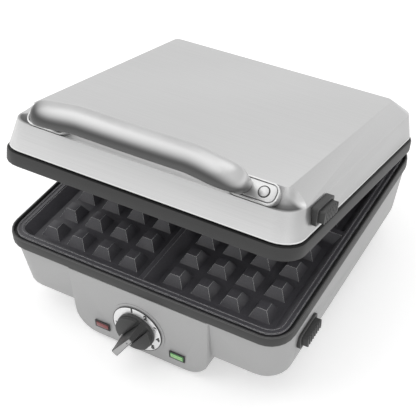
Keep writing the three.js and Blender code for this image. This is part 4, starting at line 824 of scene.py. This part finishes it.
def add_dial_edge():
    """The thin dark band round the dial."""
    outer = DIAL_RADIUS + DIAL_EDGE_WIDTH
    back = DIAL_FACE_Y + DIAL_EDGE_DEPTH
    front = DIAL_FACE_Y
    rings = [
        [(DIAL_X + x, y, DIAL_Z + z) for x, z in circle(radius, DIAL_EDGE_STEPS)]
        for radius, y in ((DIAL_RADIUS, back), (outer, back), (outer, front), (DIAL_RADIUS, front))
    ]
    add_piece("dial_edge", [rings], "black_plastic", "base", capped=False)


def add_dot(name, middle, thickness, body):
    """A small round dot that faces the front."""
    rings = [
        [(middle[0] + x, y, middle[2] + z) for x, z in circle(DOT_RADIUS, DOT_STEPS)]
        for y in (middle[1], middle[1] - thickness)
    ]
    add_piece(name, [rings], "black_plastic", body)


def add_dial_details():
    """What is printed on the dial and the pointer, and the dial's edge."""
    for text, degrees in NUMBER_ANGLES.items():
        add_number(text, math.radians(degrees))
    add_dial_edge()
    add_dot("dial_tick", on_dial(NUMBER_RADIUS, TICK_ANGLE), TICK_THICKNESS, "base")
    add_dot("pointer_dot", POINTER_DOT_PLACE, POINTER_DOT_THICKNESS, "knob")


def make_camera():
    """The photograph's camera."""
    data = bpy.data.cameras.new("camera")
    camera = add_object("camera", data)
    back = Vector((
        math.sin(CAMERA_AZIMUTH) * math.cos(CAMERA_ELEVATION),
        -math.cos(CAMERA_AZIMUTH) * math.cos(CAMERA_ELEVATION),
        math.sin(CAMERA_ELEVATION),
    ))
    level = Vector((math.cos(CAMERA_AZIMUTH), math.sin(CAMERA_AZIMUTH), 0))
    rise = back.cross(level)
    right = level * math.cos(CAMERA_ROLL) + rise * math.sin(CAMERA_ROLL)
    up = rise * math.cos(CAMERA_ROLL) - level * math.sin(CAMERA_ROLL)
    turn = Matrix((right, up, back)).transposed()
    camera.matrix_world = Matrix.Translation(CAMERA_PLACE) @ turn.to_4x4()
    data.sensor_width = CAMERA_SENSOR
    data.lens = FOCAL_PIXELS * CAMERA_SENSOR / IMAGE_WIDTH
    data.shift_x = (IMAGE_WIDTH / 2 - AXIS_PIXEL[0]) / IMAGE_WIDTH
    data.shift_y = (AXIS_PIXEL[1] - IMAGE_WIDTH / 2) / IMAGE_WIDTH
    data.clip_start = CAMERA_NEAR
    data.clip_end = CAMERA_FAR
    bpy.context.scene.camera = camera


def ray_switch(tree):
    """One for camera, glossy and transmission rays, else zero."""
    path = tree.nodes.new("ShaderNodeLightPath")
    seen = compute(tree, "MAXIMUM", path.outputs["Is Camera Ray"], path.outputs["Is Glossy Ray"])
    return compute(tree, "MAXIMUM", seen, path.outputs["Is Transmission Ray"])


def make_floor():
    """Pale floor, with a glow that only camera, glossy and transmission rays see."""
    bpy.ops.mesh.primitive_plane_add(size=FLOOR_SIZE, location=(0, 0, 0))
    floor = bpy.context.object
    floor.name = "floor"
    material, tree, shader = make_material("floor_white", grey(FLOOR_LEVEL), roughness=0.9)
    shader.inputs["Specular IOR Level"].default_value = 0.0
    glow = tree.nodes.new("ShaderNodeEmission")
    tree.links.new(product(tree, ray_switch(tree), FLOOR_GLOW), glow.inputs["Strength"])
    both = tree.nodes.new("ShaderNodeAddShader")
    tree.links.new(shader.outputs["BSDF"], both.inputs[0])
    tree.links.new(glow.outputs["Emission"], both.inputs[1])
    tree.links.new(both.outputs["Shader"], tree.nodes["Material Output"].inputs["Surface"])
    floor.data.materials.append(material)


def make_world():
    """Soft white light all round, and a pale background."""
    world = bpy.data.worlds.new("studio")
    bpy.context.scene.world = world
    world.use_nodes = True
    tree = world.node_tree
    soft = tree.nodes["Background"]
    soft.inputs["Color"].default_value = (*grey(1), 1)
    soft.inputs["Strength"].default_value = WORLD_LIGHT
    seen = new_node(tree, "ShaderNodeBackground", Strength=WORLD_SEEN)
    mix = tree.nodes.new("ShaderNodeMixShader")
    tree.links.new(ray_switch(tree), mix.inputs["Fac"])
    tree.links.new(soft.outputs["Background"], mix.inputs[1])
    tree.links.new(seen.outputs["Background"], mix.inputs[2])
    tree.links.new(mix.outputs["Shader"], tree.nodes["World Output"].inputs["Surface"])


def add_light(name, place, size, power):
    """A square soft light that faces the object."""
    data = bpy.data.lights.new(name, "AREA")
    data.size = size
    data.energy = power
    light = add_object(name, data)
    light.location = place
    light.rotation_mode = "QUATERNION"
    light.rotation_quaternion = (LIGHT_AIM - Vector(place)).to_track_quat("-Z", "Y")


make_camera()
make_floor()
make_world()
add_light("key", place=(-1.1, -0.8, 1.9), size=1.8, power=10)
add_light("fill", place=(1.6, -0.7, 1.0), size=1.6, power=0.6)
add_light("top", place=(0.1, 0.6, 2.2), size=1.8, power=7)
for node, source in frame["nodes"].items():
    paint(source, SLOT_OF[node])
    smooth_by_angle(source)
add_handle()
for node, millimetres in ROUNDED.items():
    refined(node, millimetres * MM)
add_dial_details()
bpy.context.scene.view_settings.view_transform = "Standard"
